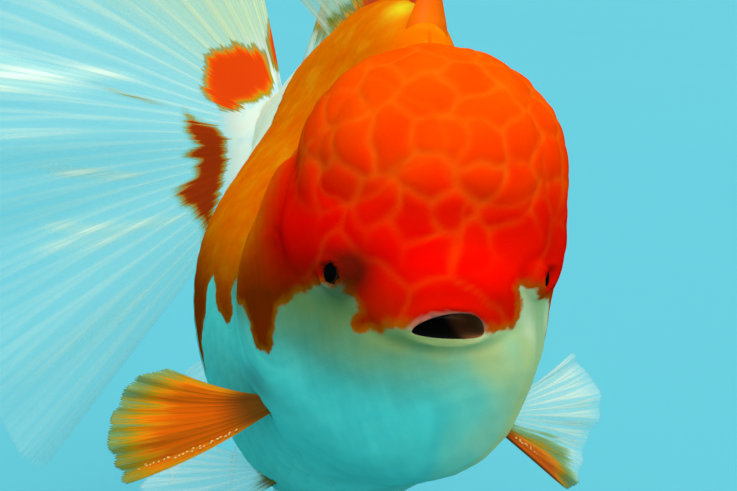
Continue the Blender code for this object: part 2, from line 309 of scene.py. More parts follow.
def cells(p, seeds, swing, seed):
    """Distance to the border between the two nearest seeds, with the seeds' reach uneven."""
    reach = np.random.default_rng(seed).uniform(-swing, swing, len(seeds))
    near = np.full((2, len(p)), 1e9)
    for s, r in zip(seeds, reach):
        d = np.sqrt(((p - s) ** 2).sum(1)) - r
        second = np.maximum(near[0], d)
        near[0] = np.minimum(near[0], d)
        near[1] = np.minimum(near[1], second)
    return near[1] - near[0]


def dome(gap, blunt, radius, power):
    """Height of a soft lobe at a distance from its groove: 0 in the groove, which is rounded by
    blunt, and 1 from the radius inwards."""
    gap = np.sqrt(np.maximum(gap, 0) ** 2 + blunt ** 2) - blunt
    return 1 - (1 - np.clip(gap / radius, 0, 1)) ** power


skin = skin_blank()
flat = points_of(skin)
x, y, z = flat.T
out = unit(slope(flat))
hood_points = flat[wen_share(flat) > 0.6]
lobe_seeds = sow(hood_points, LOBE_SPACING, 11)
fold_seeds = sow(hood_points, FOLD_SPACING, 5)
eye_out = {side: unit(np.array([side, -0.5, 0.1])) for side in (1, -1)}
eye_flank = {side: unit(np.cross(eye_out[side], np.array([0.0, 0.0, 1.0]))) for side in (1, -1)}
eye_top = {side: np.cross(eye_flank[side], eye_out[side]) for side in (1, -1)}
eye_centre = {side: skin_point((0, 12, 4.2), (side, forward, 0.12), EYE_RADIUS * 0.82)
              for side, forward in ((1, -0.5), (-1, -0.42))}


def hood_relief(p):
    """The hood's lobes at p: distance inside the hood, to the nearest groove, to the nearest
    deep fold, and how finely lobed it is there (less on the lower face)."""
    inside = wen_share(p)
    bent = p + 0.6 * np.stack([wobble(p, 6.5, s) for s in (21, 22, 23)], -1)
    groove = cells(bent, lobe_seeds, 0.7, 3)
    fold = cells(bent, fold_seeds, 1.6, 4)
    fine = ease(p[:, 2] - 0.35 * np.abs(p[:, 0]), 5, 17)
    return inside, groove, fold, fine


# the hood: small lobes on bigger bulges, with a groove along its border
inside, groove, fold, fine = hood_relief(flat)
on_hood = ease(inside, -0.5, 1.2)
lobes = dome(np.minimum(groove, 1.3 * inside + 0.6), *LOBE_DOME)
bulges = dome(fold, *BULGE_DOME)
rise = on_hood * (SKIN_DEPTH + LOBE_RELIEF * (0.1 + 0.9 * fine) * (lobes - 1) + BULGE_RELIEF * (bulges - 0.7))
rise -= SKIN_DEPTH + HOOD_GROOVE * swell(inside, 0, 0.9) * ease(y, 8, 14) * ease(z, 10, 24)
rise = soften(skin, rise, 4)

# the face: the lips' rim, with the crease and the dimple of the chin below it
face_front = 1 - ease(y, 3, 8)
mouth_x, mouth_z = x - MOUTH_MIDDLE[0], z - MOUTH_MIDDLE[1]
ring = np.hypot(mouth_x / (MOUTH_HALF + 0.6), mouth_z / np.where(mouth_z > 0, LIP_RISE + 0.5, LIP_DROP + 0.8))
rise += face_front * LIP_RIM * swell(ring, 1.05, 0.22)
rise -= face_front * CHIN_CREASE * swell(ring, 1.75, 0.25) * ease(-z, 0, 3)
rise -= face_front * CHIN_DIMPLE * swell(x, -0.8, 1.3) * swell(z, -4.2, 0.6)

# the gill covers: a swollen rim with a groove behind it, and a faint ring round the cheek
for side in (1, -1):
    on_side = side * x > 0
    cover = ellipsoid(flat, (side * GILL[0][0], *GILL[0][1:]), GILL[1])
    rim = 0.5 * ease(-cover, 0, 2.5) * (1 - ease(-cover, 4, 9)) - GILL_GROOVE * swell(cover, 0.5, 0.7)
    rise += rim * on_side * ease(y, 20, 30) * (0.35 + 0.65 * ease(z, -14, 0))
    cheek = ellipsoid(flat, (side * 24.0, 20.0, -2.0), (9, 9.5, 11))
    rise -= CHEEK_GROOVE * swell(cheek, 0, 0.6) * on_side * ease(y, 12, 18)

# soft flesh is never quite even: broad swells on the hood, small ones elsewhere, and hardly any
# where the scales lie
bare = (1 - on_hood) * (1 - 0.85 * ease(y, 34, 42))
rise += bare * (0.12 * wobble(flat, 7, 31) + 0.05 * wobble(flat, 2.6, 32))
rise += on_hood * 0.22 * wobble(flat, 11, 33)
p = flat + rise[:, None] * out

# the eyes' sockets: skin lies over each ball up to the rim of its lids, and behind the ball's
# front between them; the lids open wider across than up and down
for side in (1, -1):
    lean = p - eye_centre[side]
    reach = np.linalg.norm(lean, axis=1)
    lean = lean / (reach[:, None] + 1e-9)
    ahead, across, up = lean @ eye_out[side], lean @ eye_flank[side], lean @ eye_top[side]
    off_axis = np.where(ahead > 0, np.degrees(np.arccos(np.clip(ahead, -1, 1))), 90)
    off_middle = np.hypot(across, up).clip(1e-6)
    droop = off_axis * np.where(up > 0, 1.55, 1.25) * np.abs(up) / off_middle
    off_lid = np.hypot(off_axis * np.abs(across) / off_middle, droop)
    near = 1 - ease(reach, EYE_RADIUS + 0.8, EYE_RADIUS + LID_REACH)
    over_ball = np.maximum(reach, EYE_RADIUS + 0.35) + 0.4 * near * swell(off_lid, LID_ANGLE + 9, 8)
    opened = 1 - ease(off_lid, LID_ANGLE - 3, LID_ANGLE + 3)
    wanted = over_ball * (1 - opened) + (EYE_RADIUS - 1.3) * opened
    touched = reach < EYE_RADIUS + LID_REACH
    p = np.where(touched[:, None], eye_centre[side] + lean * wanted[:, None], p)
set_points(skin, p)

# the mouth's pouch: a cut with an arched upper lip and a nearly straight lower one
bm = bmesh.new()
bmesh.ops.create_uvsphere(bm, u_segments=64, v_segments=32, radius=1.0)
for v in bm.verts:
    side, deep, up = v.co
    side += 0.3 * (1 - side * side)
    height = LIP_RISE * abs(up) ** 1.3 if up > 0 else -LIP_DROP * abs(up) ** 0.7
    v.co = (MOUTH_MIDDLE[0] + MOUTH_HALF * side, -2.0 + MOUTH_DEEP * deep + 0.05 * (MOUTH_HALF * side) ** 2,
            MOUTH_MIDDLE[1] + height)
pouch_mesh = bpy.data.meshes.new("mouth_pouch")
bm.to_mesh(pouch_mesh)
bm.free()
skin.materials.append(None)
skin.materials.append(None)
pouch_mesh.materials.append(None)
pouch_mesh.materials.append(None)
for face in pouch_mesh.polygons:
    face.material_index = 1
pouch = show("mouth_pouch", pouch_mesh)
whole = show("skin_whole", skin)
cut = whole.modifiers.new("mouth", 'BOOLEAN')
cut.operation, cut.solver, cut.object = 'DIFFERENCE', 'EXACT', pouch
skin = bake_mesh(whole, "fish_skin")
bpy.data.objects.remove(pouch, do_unlink=True)


FACE_ROUND, FACE_BACK = 25.0, 30.0     # radius of the face seen from above, and where it ends


def round_face(p):
    """Distance round the head from the middle of the face, then back along the flank."""
    front = FACE_ROUND * np.arctan2(p[:, 0], np.maximum(FACE_BACK - p[:, 1], 0.01))
    return front + np.sign(p[:, 0]) * np.maximum(p[:, 1] - FACE_BACK, 0)


DORSAL_FOOT = skin_point((-3.0, 52, 10), (0, 0, 1))    # the yellow spot beside the dorsal fin


def paint(mesh, p):
    """Markings shared by skin and scales: depth inside the orange, the orange's place from bright to deep
    red, its deeper red partly painted shade, how golden it is, how much umber it has, also partly painted
    shade, the yellow spot, the painted shadow under the cheek, and the painted turquoise light on the white."""
    x, y, z = p.T
    around = round_face(p)
    mark = outline_depth(np.stack([around, z], -1), MARKING)
    right = -x
    # painted shade together with the real shift from orange to red: the orange runs deeper red lower on the
    # face, and more so low on the fish's right
    redness = np.clip((40 - z) / 38, 0, 1) + 0.15 * ease(right, -6, 16) * ease(-z, -26, -8)
    gold = ease(np.abs(around), 24, 50) * ease(y, 10, 36) + 0.85 * ease(y, 36, 42) * ease(z, 12, 22)
    # painted shade mixed with the fish's own darker umber: darker low on the face, on the fish's right cheek,
    # and on the flank's lower fingers
    brown = ease(-z, -9, 3) * (0.45 * ease(right, 2, 12) + 0.28) * (1 - 0.75 * ease(y, 30, 42))
    brown += 0.42 * ease(right, 10, 20) * ease(-z, -8, 7) * (1 - ease(y, 22, 38))
    brown += 0.75 * ease(-z, -2, 14) * ease(np.abs(around), 34, 54)
    # painted shadow: a dull green on the white just below the orange, strongest under the fish's right cheek
    moss = 0.8 * (1 - ease(-z, 3, 15)) * ease(right, -14, 8) * (1 - ease(y, 40, 56))
    # painted turquoise light bounced from water over a faint pearly tint of the white: strongest low on the
    # belly and jaw and on the fish's right, weaker towards the tail stem
    cool = ease(-z, -4, 14) * (0.12 + 0.88 * ease(right, -13, 6))
    cool *= 1 - 0.75 * ease(y, 66, 84) * ease(z, -4, 14)
    cool += 0.14 + 0.16 * ease(right, 8, 18) * ease(-z, -6, 2) - 0.12 * ease(y, 66, 84)
    cool *= 0.88 - 0.48 * ease(y, 52, 86)
    cool += 0.12 * ease(-z, 18, 36) + 0.15 * (1 - ease(y, 30, 44)) * ease(-right, 2, 10)
    set_values(mesh, "mark", np.clip(mark, -12, 12))
    set_values(mesh, "redness", np.clip(redness + 0.05 * wobble(p, 9, 51), 0, 1))
    set_values(mesh, "gold", np.clip(gold, 0, 1))
    set_values(mesh, "brown", np.clip(brown, 0, 1))
    set_values(mesh, "yolk", blob(p, DORSAL_FOOT, (2.8, 4.5, 5.0)) * (x < 0.5))
    set_values(mesh, "moss", moss)
    set_values(mesh, "cool", np.clip(cool + 0.06 * wobble(p, 8, 52), 0, 1))
    return mark


p = points_of(skin)
mark = paint(skin, p)
inside, groove, fold, fine = hood_relief(p)
# painted highlights: pale lines run in the hood's grooves and along the gill covers' rear edges, where the
# skin's edges would catch the light
line = swell(np.minimum(groove, np.maximum(1.3 * inside + 0.6, 0.3)), 0, 0.5)
line *= ease(inside, 0, 0.8) * (0.03 + 0.97 * fine)
for side in (1, -1):
    cover = ellipsoid(p, (side * GILL[0][0], *GILL[0][1:]), GILL[1])
    line += (0.7 * swell(cover, 0.9, 0.7) * ease(p[:, 1], 24, 31) * (side * p[:, 0] > 0)
             * ease(mark, 1.5, 4) * ease(p[:, 2], -8, 2))
set_values(skin, "line", soften(skin, line, 2))
# painted highlight: the deep folds between the hood's bulges are a touch paler
set_values(skin, "deep", swell(fold, 0, 0.8) * ease(inside, 0, 0.8))
lip = np.hypot((p[:, 0] - MOUTH_MIDDLE[0]) / MOUTH_HALF,
               (p[:, 2] - MOUTH_MIDDLE[1]) / np.where(p[:, 2] > MOUTH_MIDDLE[1], LIP_RISE, LIP_DROP))
set_values(skin, "lip", (1 - ease(lip, 1.0, 1.1)) * (p[:, 1] < 8) * (p[:, 2] > MOUTH_MIDDLE[1]))
# painted shade: dark blots in the folds round the eyes, and on the body at the right pectoral fin's foot
HOLLOW_SHADES = [((-14.0, 5.0, 6.8), (3.4, 6.0, 3.0), 1.0), (eye_centre[-1], (4.4, 4.4, 4.4), 0.9),
         (eye_centre[1], (3.6, 4.4, 3.6), 0.8), ((16.5, 7.0, 11.0), (2.2, 6.0, 5.0), 0.4),
         (skin_point((0, 27, -12.5), (-1, 0.1, -0.25)), (6.0, 6.0, 2.6), 0.55)]
dusky = sum(share * blob(p, middle, size) for middle, size, share in HOLLOW_SHADES)
set_values(skin, "dusky", np.clip(dusky, 0, 1))
set_points(skin, pose(p))
for face in skin.polygons:
    face.use_smooth = True


def srgb(code):
    """A hex colour as the linear RGBA that the shaders take."""
    parts = [int(code[i:i + 2], 16) / 255.0 for i in (1, 3, 5)]
    return (*[c / 12.92 if c <= 0.04045 else ((c + 0.055) / 1.055) ** 2.4 for c in parts], 1.0)


def put(tree, kind, inputs=(), out=0, stops=(), between='EASE', **settings):
    """Add a node, a shader's by its short kind or another by its full name, with its settings.
    Inputs are set or linked by name or in order, with colours as hex codes; stops and between are
    a colour ramp's. Returns the output asked for."""
    node = tree.nodes.new(kind if "Node" in kind else "ShaderNode" + kind)
    for key, value in settings.items():
        setattr(node, key, value)
    for key, value in inputs.items() if isinstance(inputs, dict) else enumerate(inputs):
        if isinstance(value, bpy.types.NodeSocket):
            tree.links.new(value, node.inputs[key])
        else:
            is_code = isinstance(value, str) and value.startswith("#")
            node.inputs[key].default_value = srgb(value) if is_code else value
    if stops:
        bar = node.color_ramp
        bar.interpolation = between
        bar.elements.remove(bar.elements[1])
        bar.elements[0].position = stops[0][0]
        bar.elements[0].color = srgb(stops[0][1])
        for at, code in stops[1:]:
            bar.elements.new(at).color = srgb(code)
    return node.outputs[out] if node.outputs else None


def new_material(name):
    mat = bpy.data.materials.new(name)
    mat.use_nodes = True
    mat.node_tree.nodes.clear()
    return mat, mat.node_tree


def skin_colour(tree, place):
    """The colour of skin and scales from the shared markings."""
    mark, redness, gold, yolk, brown, cool, moss = (
        put(tree, "Attribute", out="Fac", attribute_name=key)
        for key in ("mark", "redness", "gold", "yolk", "brown", "cool", "moss"))
    # the orange's edge is frayed by up to 1.3 mm either way, in swells of 2.6 mm
    ragged = put(tree, "TexNoise", {"Vector": place, "Scale": 1 / (2.6 * MM), "Detail": 3.0})
    ragged = put(tree, "Math", [ragged, 2.6, -1.3], operation='MULTIPLY_ADD')
    mark = put(tree, "Math", [mark, ragged], operation='ADD')
    # the orange from bright at the top to deep red below; its darker lowest stop is painted shade
    orange = put(tree, "ValToRGB", [redness], between='LINEAR', stops=[
        (0.0, "#FF5200"), (0.32, "#FF3E00"), (0.65, "#FF1200"), (0.85, "#FF0600"), (1.0, "#E80400")])
    mottle = put(tree, "TexNoise", {"Vector": place, "Scale": 1 / (6 * MM), "Detail": 3.0})
    golden = put(tree, "ValToRGB", [mottle], stops=[(0.25, "#FF5C00"), (0.5, "#FF6C00"), (0.75, "#FF8208")])
    rim = put(tree, "MapRange", [mark, 0.1, 1.9, 0.62, 0.0], interpolation_type='SMOOTHSTEP')
    # over the orange: gold, the yellow spot, umber that is partly painted shade, and the olive rim at the
    # marking's edge
    for share, over in ((gold, golden), (yolk, "#FFDC20"), (brown, "#802400"), (rim, "#A85E00")):
        orange = put(tree, "Mix", {0: share, 6: orange, 7: over}, out=2, data_type='RGBA')
    # the white, from warm ivory through pale yellow-green to turquoise, is painted light bounced from water
    # over a faint pearly tint; its last stop brightens the underside
    white = put(tree, "ValToRGB", [cool], stops=[
        (0.0, "#FFF0CC"), (0.34, "#BCBE7E"), (0.62, "#74C6B0"), (0.86, "#56C2B6"), (1.0, "#5CD0C4")])
    blotch = put(tree, "TexNoise", {"Vector": place, "Scale": 1 / (11 * MM), "Detail": 3.0})
    blotch = put(tree, "MapRange", [blotch, 0.45, 0.75, 0.0, 0.4], interpolation_type='SMOOTHSTEP')
    blotch = put(tree, "Math", [blotch, cool], operation='MULTIPLY')
    # turquoise blotches where the painted turquoise light is strong, and the painted shadow's dull green
    # under the cheek
    for share, over in ((blotch, "#57BFAE"), (moss, "#64783E")):
        white = put(tree, "Mix", {0: share, 6: white, 7: over}, out=2, data_type='RGBA')
    inside_mark = put(tree, "MapRange", [mark, -0.3, 0.4], interpolation_type='SMOOTHSTEP')
    return put(tree, "Mix", {0: inside_mark, 6: white, 7: orange}, out=2, data_type='RGBA')


# living skin: soft, slightly see-through flesh with a grain of 0.6 mm, with painted highlights in the hood's
# grooves and folds and painted shade round the eyes and at the right pectoral fin's foot; it is matt, as
# under water skin has next to no shine
skin_flesh, tree = new_material("goldfish_skin")
place = put(tree, "TexCoord", out="Object")
colour = skin_colour(tree, place)
# the skin's painted highlights and painted shade, and the lips' pinkish edge, laid over its colour
for key, share, code in (("line", 0.28, "#FF8C14"), ("deep", 0.08, "#FF7A10"), ("lip", 0.45, "#E89074"),
                         ("dusky", 0.88, "#2C1004")):
    here = put(tree, "Attribute", out="Fac", attribute_name=key)
    here = put(tree, "Math", [here, share], operation='MULTIPLY')
    colour = put(tree, "Mix", {0: here, 6: colour, 7: code}, out=2, data_type='RGBA')
pores = put(tree, "TexNoise", {"Vector": place, "Scale": 1 / (0.6 * MM), "Detail": 3.0})
pores = put(tree, "Bump", {"Height": pores, "Distance": 0.08 * MM, "Strength": 0.5})
film = put(tree, "TexNoise", {"Vector": place, "Scale": 1 / (4 * MM), "Detail": 3.0})
film = put(tree, "MapRange", [film, 0.3, 0.7, 0.36, 0.48], interpolation_type='SMOOTHSTEP')
flesh = put(tree, "BsdfPrincipled", {
    "Base Color": colour, "Roughness": film, "Normal": pores, "IOR": 1.36, "Specular IOR Level": 0.0,
    "Subsurface Weight": 0.2, "Subsurface Radius": (1.0, 0.35, 0.15), "Subsurface Scale": 1.5 * MM})
put(tree, "OutputMaterial", {"Surface": flesh})

# the mouth's lining: thin membrane, near black with painted shade inside, and a painted patch of light, tan
# with folds, where light reaches its left side
mouth_lining, tree = new_material("mouth_lining")
place = put(tree, "TexCoord", out="Object")
across = put(tree, "SeparateXYZ", [place], out="X")
lit = put(tree, "MapRange", [across, 1.0 * MM, 3.4 * MM], interpolation_type='SMOOTHSTEP')
folds = put(tree, "TexNoise", {"Vector": place, "Scale": 1 / (1.2 * MM)})
folds = put(tree, "Mix", {0: folds, 6: "#8A4A28", 7: "#C07848"}, out=2, data_type='RGBA')
lining = put(tree, "Mix", {0: lit, 6: "#070505", 7: folds}, out=2, data_type='RGBA')
lining = put(tree, "BsdfPrincipled", {"Base Color": lining, "Roughness": 0.5})
put(tree, "OutputMaterial", {"Surface": lining})
skin.materials[0] = skin_flesh
skin.materials[1] = mouth_lining
fish_skin = show("fish_skin", skin)
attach(fish_skin, "root")
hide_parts("wen", "head", "jaw", "gill_cover_left", "gill_cover_right", "trunk", "tail_stem")

# ---- the eyes ----
# Two round eyes, sunk under the hood: a black pupil in a narrow dark bronze iris. Each is one
# ball that stands out a little over the pupil and is dished round the pupil's rim.
PUPIL_ANGLE, IRIS_ANGLE = 22.0, 40.0   # degrees off the eye's axis
# how far the pupil's dome stands past the full ball, its fall to the lids, and the rim's dish
IRIS_FRONT, IRIS_FALL, PUPIL_DISH = 0.07, 0.22, 0.12
# bronze-flecked iris and black pupil under a thin gloss of cornea
eye_glass, tree = new_material("eye_cornea_over_bronze_iris")
off_axis, spokes = (put(tree, "Attribute", out="Fac", attribute_name=key) for key in ("off_axis", "spoke"))
bronze = put(tree, "ValToRGB", [spokes], stops=[(0.2, "#140904"), (0.5, "#241208"), (0.8, "#40260E")])
colour = "#040303"
for low, high, over in ((PUPIL_ANGLE - 1, PUPIL_ANGLE + 1, bronze),
                        (IRIS_ANGLE - 2, IRIS_ANGLE + 3, "#120A08")):
    past = put(tree, "MapRange", [off_axis, low / 90, high / 90], interpolation_type='SMOOTHSTEP')
    colour = put(tree, "Mix", {0: past, 6: colour, 7: over}, out=2, data_type='RGBA')
shine = put(tree, "BsdfPrincipled", {"Base Color": colour, "Roughness": 0.3, "IOR": 1.38,
                                     "Specular IOR Level": 0.0, "Coat Weight": 0.025, "Coat Roughness": 0.06})
put(tree, "OutputMaterial", {"Surface": shine})
for side, name in ((1, "left"), (-1, "right")):
    bm = bmesh.new()
    bmesh.ops.create_uvsphere(bm, u_segments=96, v_segments=64, radius=1.0)
    mesh = bpy.data.meshes.new("eye_ball_" + name)
    bm.to_mesh(mesh)
    bm.free()
    ball_points = points_of(mesh)
    off = np.degrees(np.arccos(np.clip(ball_points[:, 2], -1, 1)))
    turn = np.arctan2(ball_points[:, 1], ball_points[:, 0])
    radius = EYE_RADIUS + IRIS_FRONT - IRIS_FALL * ease(off, PUPIL_ANGLE - 2, IRIS_ANGLE + 2)
    radius -= PUPIL_DISH * swell(off, PUPIL_ANGLE, 3)
    turned = ball_points @ np.stack([eye_flank[side], eye_top[side], eye_out[side]])
    set_values(mesh, "off_axis", off / 90)
    set_values(mesh, "spoke", 0.5 + 0.25 * np.sin(turn * 37) + 0.25 * np.sin(turn * 61 + 9 * off / 90))
    set_points(mesh, pose(eye_centre[side] + turned * radius[:, None]))
    mesh.materials.append(eye_glass)
    for face in mesh.polygons:
        face.use_smooth = True
    ball = show("eye_ball_" + name, mesh)
    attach(ball, "root")
    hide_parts("eye_" + name)

# ---- the scales ----
# Thin rounded plates of bone under clear skin, in staggered rows from the gill covers to the tail,
# each rooted in the skin and lapping the next; they carry the same orange and white as the skin.
ROW_PITCH, SCALE_PITCH = 3.1, 3.9      # along and round the body
SCALE_LENGTH, SCALE_WIDTH, SCALE_THICK = 4.9, 4.5, 0.09
SCALE_TILT = math.radians(1.3)         # how far the free edge lifts
SCALES_FROM, SCALES_TO = 31.0, 117.0   # first and last row, behind the mouth
STEM_FROM = 98.0                       # where the trunk's scales become the tail stem's
SCALE_BEND = 0.01925                   # how far a scale curls down to its sides, per millimetre
RINGS_TURN = 50.0                      # growth rings: radians of the sine along a scale
MAP_EDGE, MAP_RUN = 0.02, 90.0         # the OFBake map's margin, and the length of body it takes


def ring_points(y, count=180):
    """Points round the body's section at a distance behind the mouth, from the belly up."""
    middle = np.array([0.0, y, -6 + 18 * ease(np.array(float(y)), 60, 104)])
    turn = np.linspace(-math.pi, math.pi, count, endpoint=False)
    ray = np.stack([np.sin(turn), np.zeros(count), np.cos(turn)], -1)
    low, high = np.zeros(count), np.full(count, 60.0)
    for _ in range(22):
        mid = 0.5 * (low + high)
        far = form_field(middle + ray * mid[:, None]) > 0
        high, low = np.where(far, mid, high), np.where(far, low, mid)
    return middle + ray * low[:, None], turn


sites, unwrap = [], []
for row, y in enumerate(np.arange(SCALES_FROM, SCALES_TO, ROW_PITCH)):
    loop, turn = ring_points(y)
    closed = np.vstack([loop, loop[:1]])
    along = np.concatenate([[0], np.cumsum(np.linalg.norm(np.diff(closed, axis=0), axis=1))])
    total = max(3, round(along[-1] / SCALE_PITCH))
    at = (np.arange(total) + 0.5 * (row % 2)) / total * along[-1]
    sites.append(np.stack([np.interp(at, along, closed[:, k]) for k in range(3)], -1))
    across = MAP_EDGE + (1 - 2 * MAP_EDGE) * at / along[-1]
    back = MAP_EDGE + (1 - 2 * MAP_EDGE) * (y - SCALES_FROM) / MAP_RUN
    unwrap.append(np.stack([across, np.full(total, back)], -1))
sites, unwrap = np.concatenate(sites), np.concatenate(unwrap)
cover_gap = np.minimum(*[ellipsoid(sites, (side * GILL[0][0], *GILL[0][1:]), GILL[1]) for side in (1, -1)])
# the hood, the gill covers and the head ahead of them are bare
keep = (wen_share(sites) < -2.2) & (cover_gap > 2.6) & (sites[:, 1] > 37 + 0.25 * sites[:, 2])
sites, unwrap = sites[keep], unwrap[keep]
sites = settle(sites, SKIN_DEPTH + 0.05)
site_up = unit(slope(sites))
tailward = np.array([0.0, 1.0, 0.0]) - site_up * site_up[:, 1:2]
site_lie = unit(tailward)

bm = bmesh.new()
bmesh.ops.create_grid(bm, x_segments=4, y_segments=4, size=1.0)
plate = bpy.data.meshes.new("scale_plate")
bm.to_mesh(plate)
bm.free()
square = points_of(plate)
gx, gy = square[:, 0], square[:, 1]
round_x = gx * np.sqrt(1 - 0.5 * gy ** 2)
round_y = gy * np.sqrt(1 - 0.42 * gx ** 2)
curve = -SCALE_BEND * (round_x * SCALE_WIDTH / 2) ** 2
set_points(plate, np.stack([(round_y + 0.55) * SCALE_LENGTH / 2, round_x * SCALE_WIDTH / 2, curve], -1))
plate_object = show("scale_plate", plate)
wall = plate_object.modifiers.new("Solidify", 'SOLIDIFY')
wall.thickness, wall.offset = SCALE_THICK, 0.0
plate_object = show("scale_plate_solid", bake_mesh(plate_object, "scale_plate_solid"))

# clear skin over a bony plate: a little darker at its root, with fine growth rings near the free
# edge, and matt, as a wet scale looks under water
scale_enamel, tree = new_material("goldfish_scale")
place = put(tree, "TexCoord", out="Object")
colour = skin_colour(tree, place)
free_edge = put(tree, "Attribute", out="Fac", attribute_name="free_edge")
shaded = put(tree, "MapRange", [free_edge, 0.5, 0.85, 0.08, 0.0], interpolation_type='SMOOTHSTEP')
colour = put(tree, "Mix", {0: shaded, 6: colour, 7: "#D8A070"}, out=2, data_type='RGBA',
             blend_type='MULTIPLY')
rings = put(tree, "Math", [free_edge, RINGS_TURN], operation='MULTIPLY')
rings = put(tree, "Math", [rings], operation='SINE')
bump = put(tree, "Bump", {"Height": rings, "Distance": 0.03 * MM, "Strength": 0.12})
sheen = put(tree, "BsdfPrincipled", {
    "Base Color": colour, "Roughness": 0.42, "Normal": bump, "IOR": 1.4, "Specular IOR Level": 0.0,
    "Subsurface Weight": 0.12, "Subsurface Radius": (1.0, 0.35, 0.15), "Subsurface Scale": 1.0 * MM})
put(tree, "OutputMaterial", {"Surface": sheen})


def plant_tree(name):
    """Geometry Nodes: set one shape on every point, its Z along 'up' and its X along 'lie',
    tilted, slightly turned at random and sized by 'size'."""
    tree = bpy.data.node_groups.new(name, 'GeometryNodeTree')
    for key, kind in (("Geometry", "Geometry"), ("Shape", "Object"), ("Finish", "Material"),
                      ("Tilt", "Float"), ("Turn", "Float"), ("Seed", "Int")):
        tree.interface.new_socket(key, in_out='INPUT', socket_type="NodeSocket" + kind)
    tree.interface.new_socket("Geometry", in_out='OUTPUT', socket_type='NodeSocketGeometry')
    given = tree.nodes.new("NodeGroupInput").outputs
    up, lie, size = (
        put(tree, "GeometryNodeInputNamedAttribute", {"Name": key}, data_type=kind)
        for key, kind in (("up", 'FLOAT_VECTOR'), ("lie", 'FLOAT_VECTOR'), ("size", 'FLOAT')))
    stand = put(tree, "FunctionNodeAlignRotationToVector", {"Vector": up}, axis='Z')
    aim = put(tree, "FunctionNodeAlignRotationToVector", {"Rotation": stand, "Vector": lie}, axis='X',
              pivot_axis='Z')
    lowest_turn = put(tree, "Math", [given["Turn"], -1.0], operation='MULTIPLY')
    turn = put(tree, "FunctionNodeRandomValue", {
        "Min": lowest_turn, "Max": given["Turn"], "Seed": given["Seed"]}, out=1, data_type='FLOAT')
    lift = put(tree, "Math", [given["Tilt"], -1.0], operation='MULTIPLY')
    angles = put(tree, "CombineXYZ", {"Y": lift, "Z": turn})
    small = put(tree, "FunctionNodeEulerToRotation", [angles])
    full = put(tree, "FunctionNodeRotateRotation", {"Rotation": aim, "Rotate By": small},
               rotation_space='LOCAL')
    shape = put(tree, "GeometryNodeObjectInfo", {"Object": given["Shape"]}, out="Geometry")
    placed = put(tree, "GeometryNodeInstanceOnPoints", {
        "Points": given["Geometry"], "Instance": shape, "Rotation": full, "Scale": size})
    real = put(tree, "GeometryNodeRealizeInstances", {"Geometry": placed})
    done = put(tree, "GeometryNodeSetMaterial", {"Geometry": real, "Material": given["Finish"]})
    put(tree, "NodeGroupOutput", [done])
    return tree


def plant(name, tree, p, up, lie, size, shape, finish, tilt, turn, seed):
    """Run the planting tree on points and return the realized mesh."""
    mesh = bpy.data.meshes.new(name)
    mesh.from_pydata(p.tolist(), [], [])
    for key, values in (("up", up), ("lie", lie)):
        layer = mesh.attributes.new(key, 'FLOAT_VECTOR', 'POINT')
        layer.data.foreach_set("vector", np.ascontiguousarray(values, np.float32).ravel())
    set_values(mesh, "size", size)
    obj = show(name, mesh)
    mod = obj.modifiers.new("Plant", 'NODES')
    mod.node_group = tree
    wanted = {"Shape": shape, "Finish": finish, "Tilt": tilt, "Turn": turn, "Seed": seed}
    for item in tree.interface.items_tree:
        if item.in_out == 'INPUT' and item.name in wanted:
            mod[item.identifier] = wanted[item.name]
    return bake_mesh(obj, name)


planting = plant_tree("set_on_points")
stemward = ease(sites[:, 1], 60, 112)
site_size = (1 - 0.28 * stemward) * (0.92 + 0.08 * ease(sites[:, 1], 36, 46))
on_stem = sites[:, 1] >= STEM_FROM
parts_of_coat = [("trunk_scales_left", (sites[:, 0] >= 0) & ~on_stem, "trunk_scales"),
                 ("trunk_scales_right", (sites[:, 0] < 0) & ~on_stem, "trunk_scales"),
                 ("stem_scales", on_stem, "stem_scales")]
solid_plate = points_of(plate_object.data)
PATCH_SIZE = 0.003                     # each scale's patch on the OFBake map
for number, (name, chosen, slot) in enumerate(parts_of_coat):
    mesh = plant(name, planting, sites[chosen], site_up[chosen], site_lie[chosen], site_size[chosen],
                 plate_object, scale_enamel, SCALE_TILT, 0.06, 7 + number)
    count = len(mesh.vertices) // len(solid_plate)
    local = np.tile(solid_plate, (count, 1))
    p = settle(points_of(mesh), rounds=3)
    lift = local[:, 2] + math.tan(SCALE_TILT) * local[:, 0] - SKIN_DEPTH - 0.02
    p = p + unit(slope(p)) * lift[:, None]
    set_values(mesh, "free_edge", np.clip(local[:, 0] / SCALE_LENGTH + 0.25, 0, 1))
    paint(mesh, p)
    root = np.repeat(unwrap[chosen], len(solid_plate), axis=0)
    patch = root + (local[:, :2] / SCALE_LENGTH) * PATCH_SIZE
    corners = np.empty(len(mesh.loops), int)
    mesh.loops.foreach_get("vertex_index", corners)
    mesh.uv_layers.new(name="OFBake").data.foreach_set("uv", patch[corners].astype(np.float32).ravel())
    set_points(mesh, pose(p))
    mesh.shade_smooth()
    mesh.set_sharp_from_angle(angle=math.radians(50))
    coat = show(name, mesh)
    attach(coat, "root")
bpy.data.objects.remove(plate_object, do_unlink=True)

# ---- the fins ----
# Thin skin stretched between branching bony rays that fan out from a fleshy root. Each fin is one
# closed sheet: ridges where the rays run, clear and frayed between them at the free edge.
MEMBRANE, RAY_RISE = 0.16, 0.26        # half-thickness of the skin and what a ray adds
FORK_AT, RAY_WIDTH = 0.30, 0.17        # share of a ray before its first fork; half of its crest
NO_PATCH = -20.0                       # a depth far outside any coloured patch


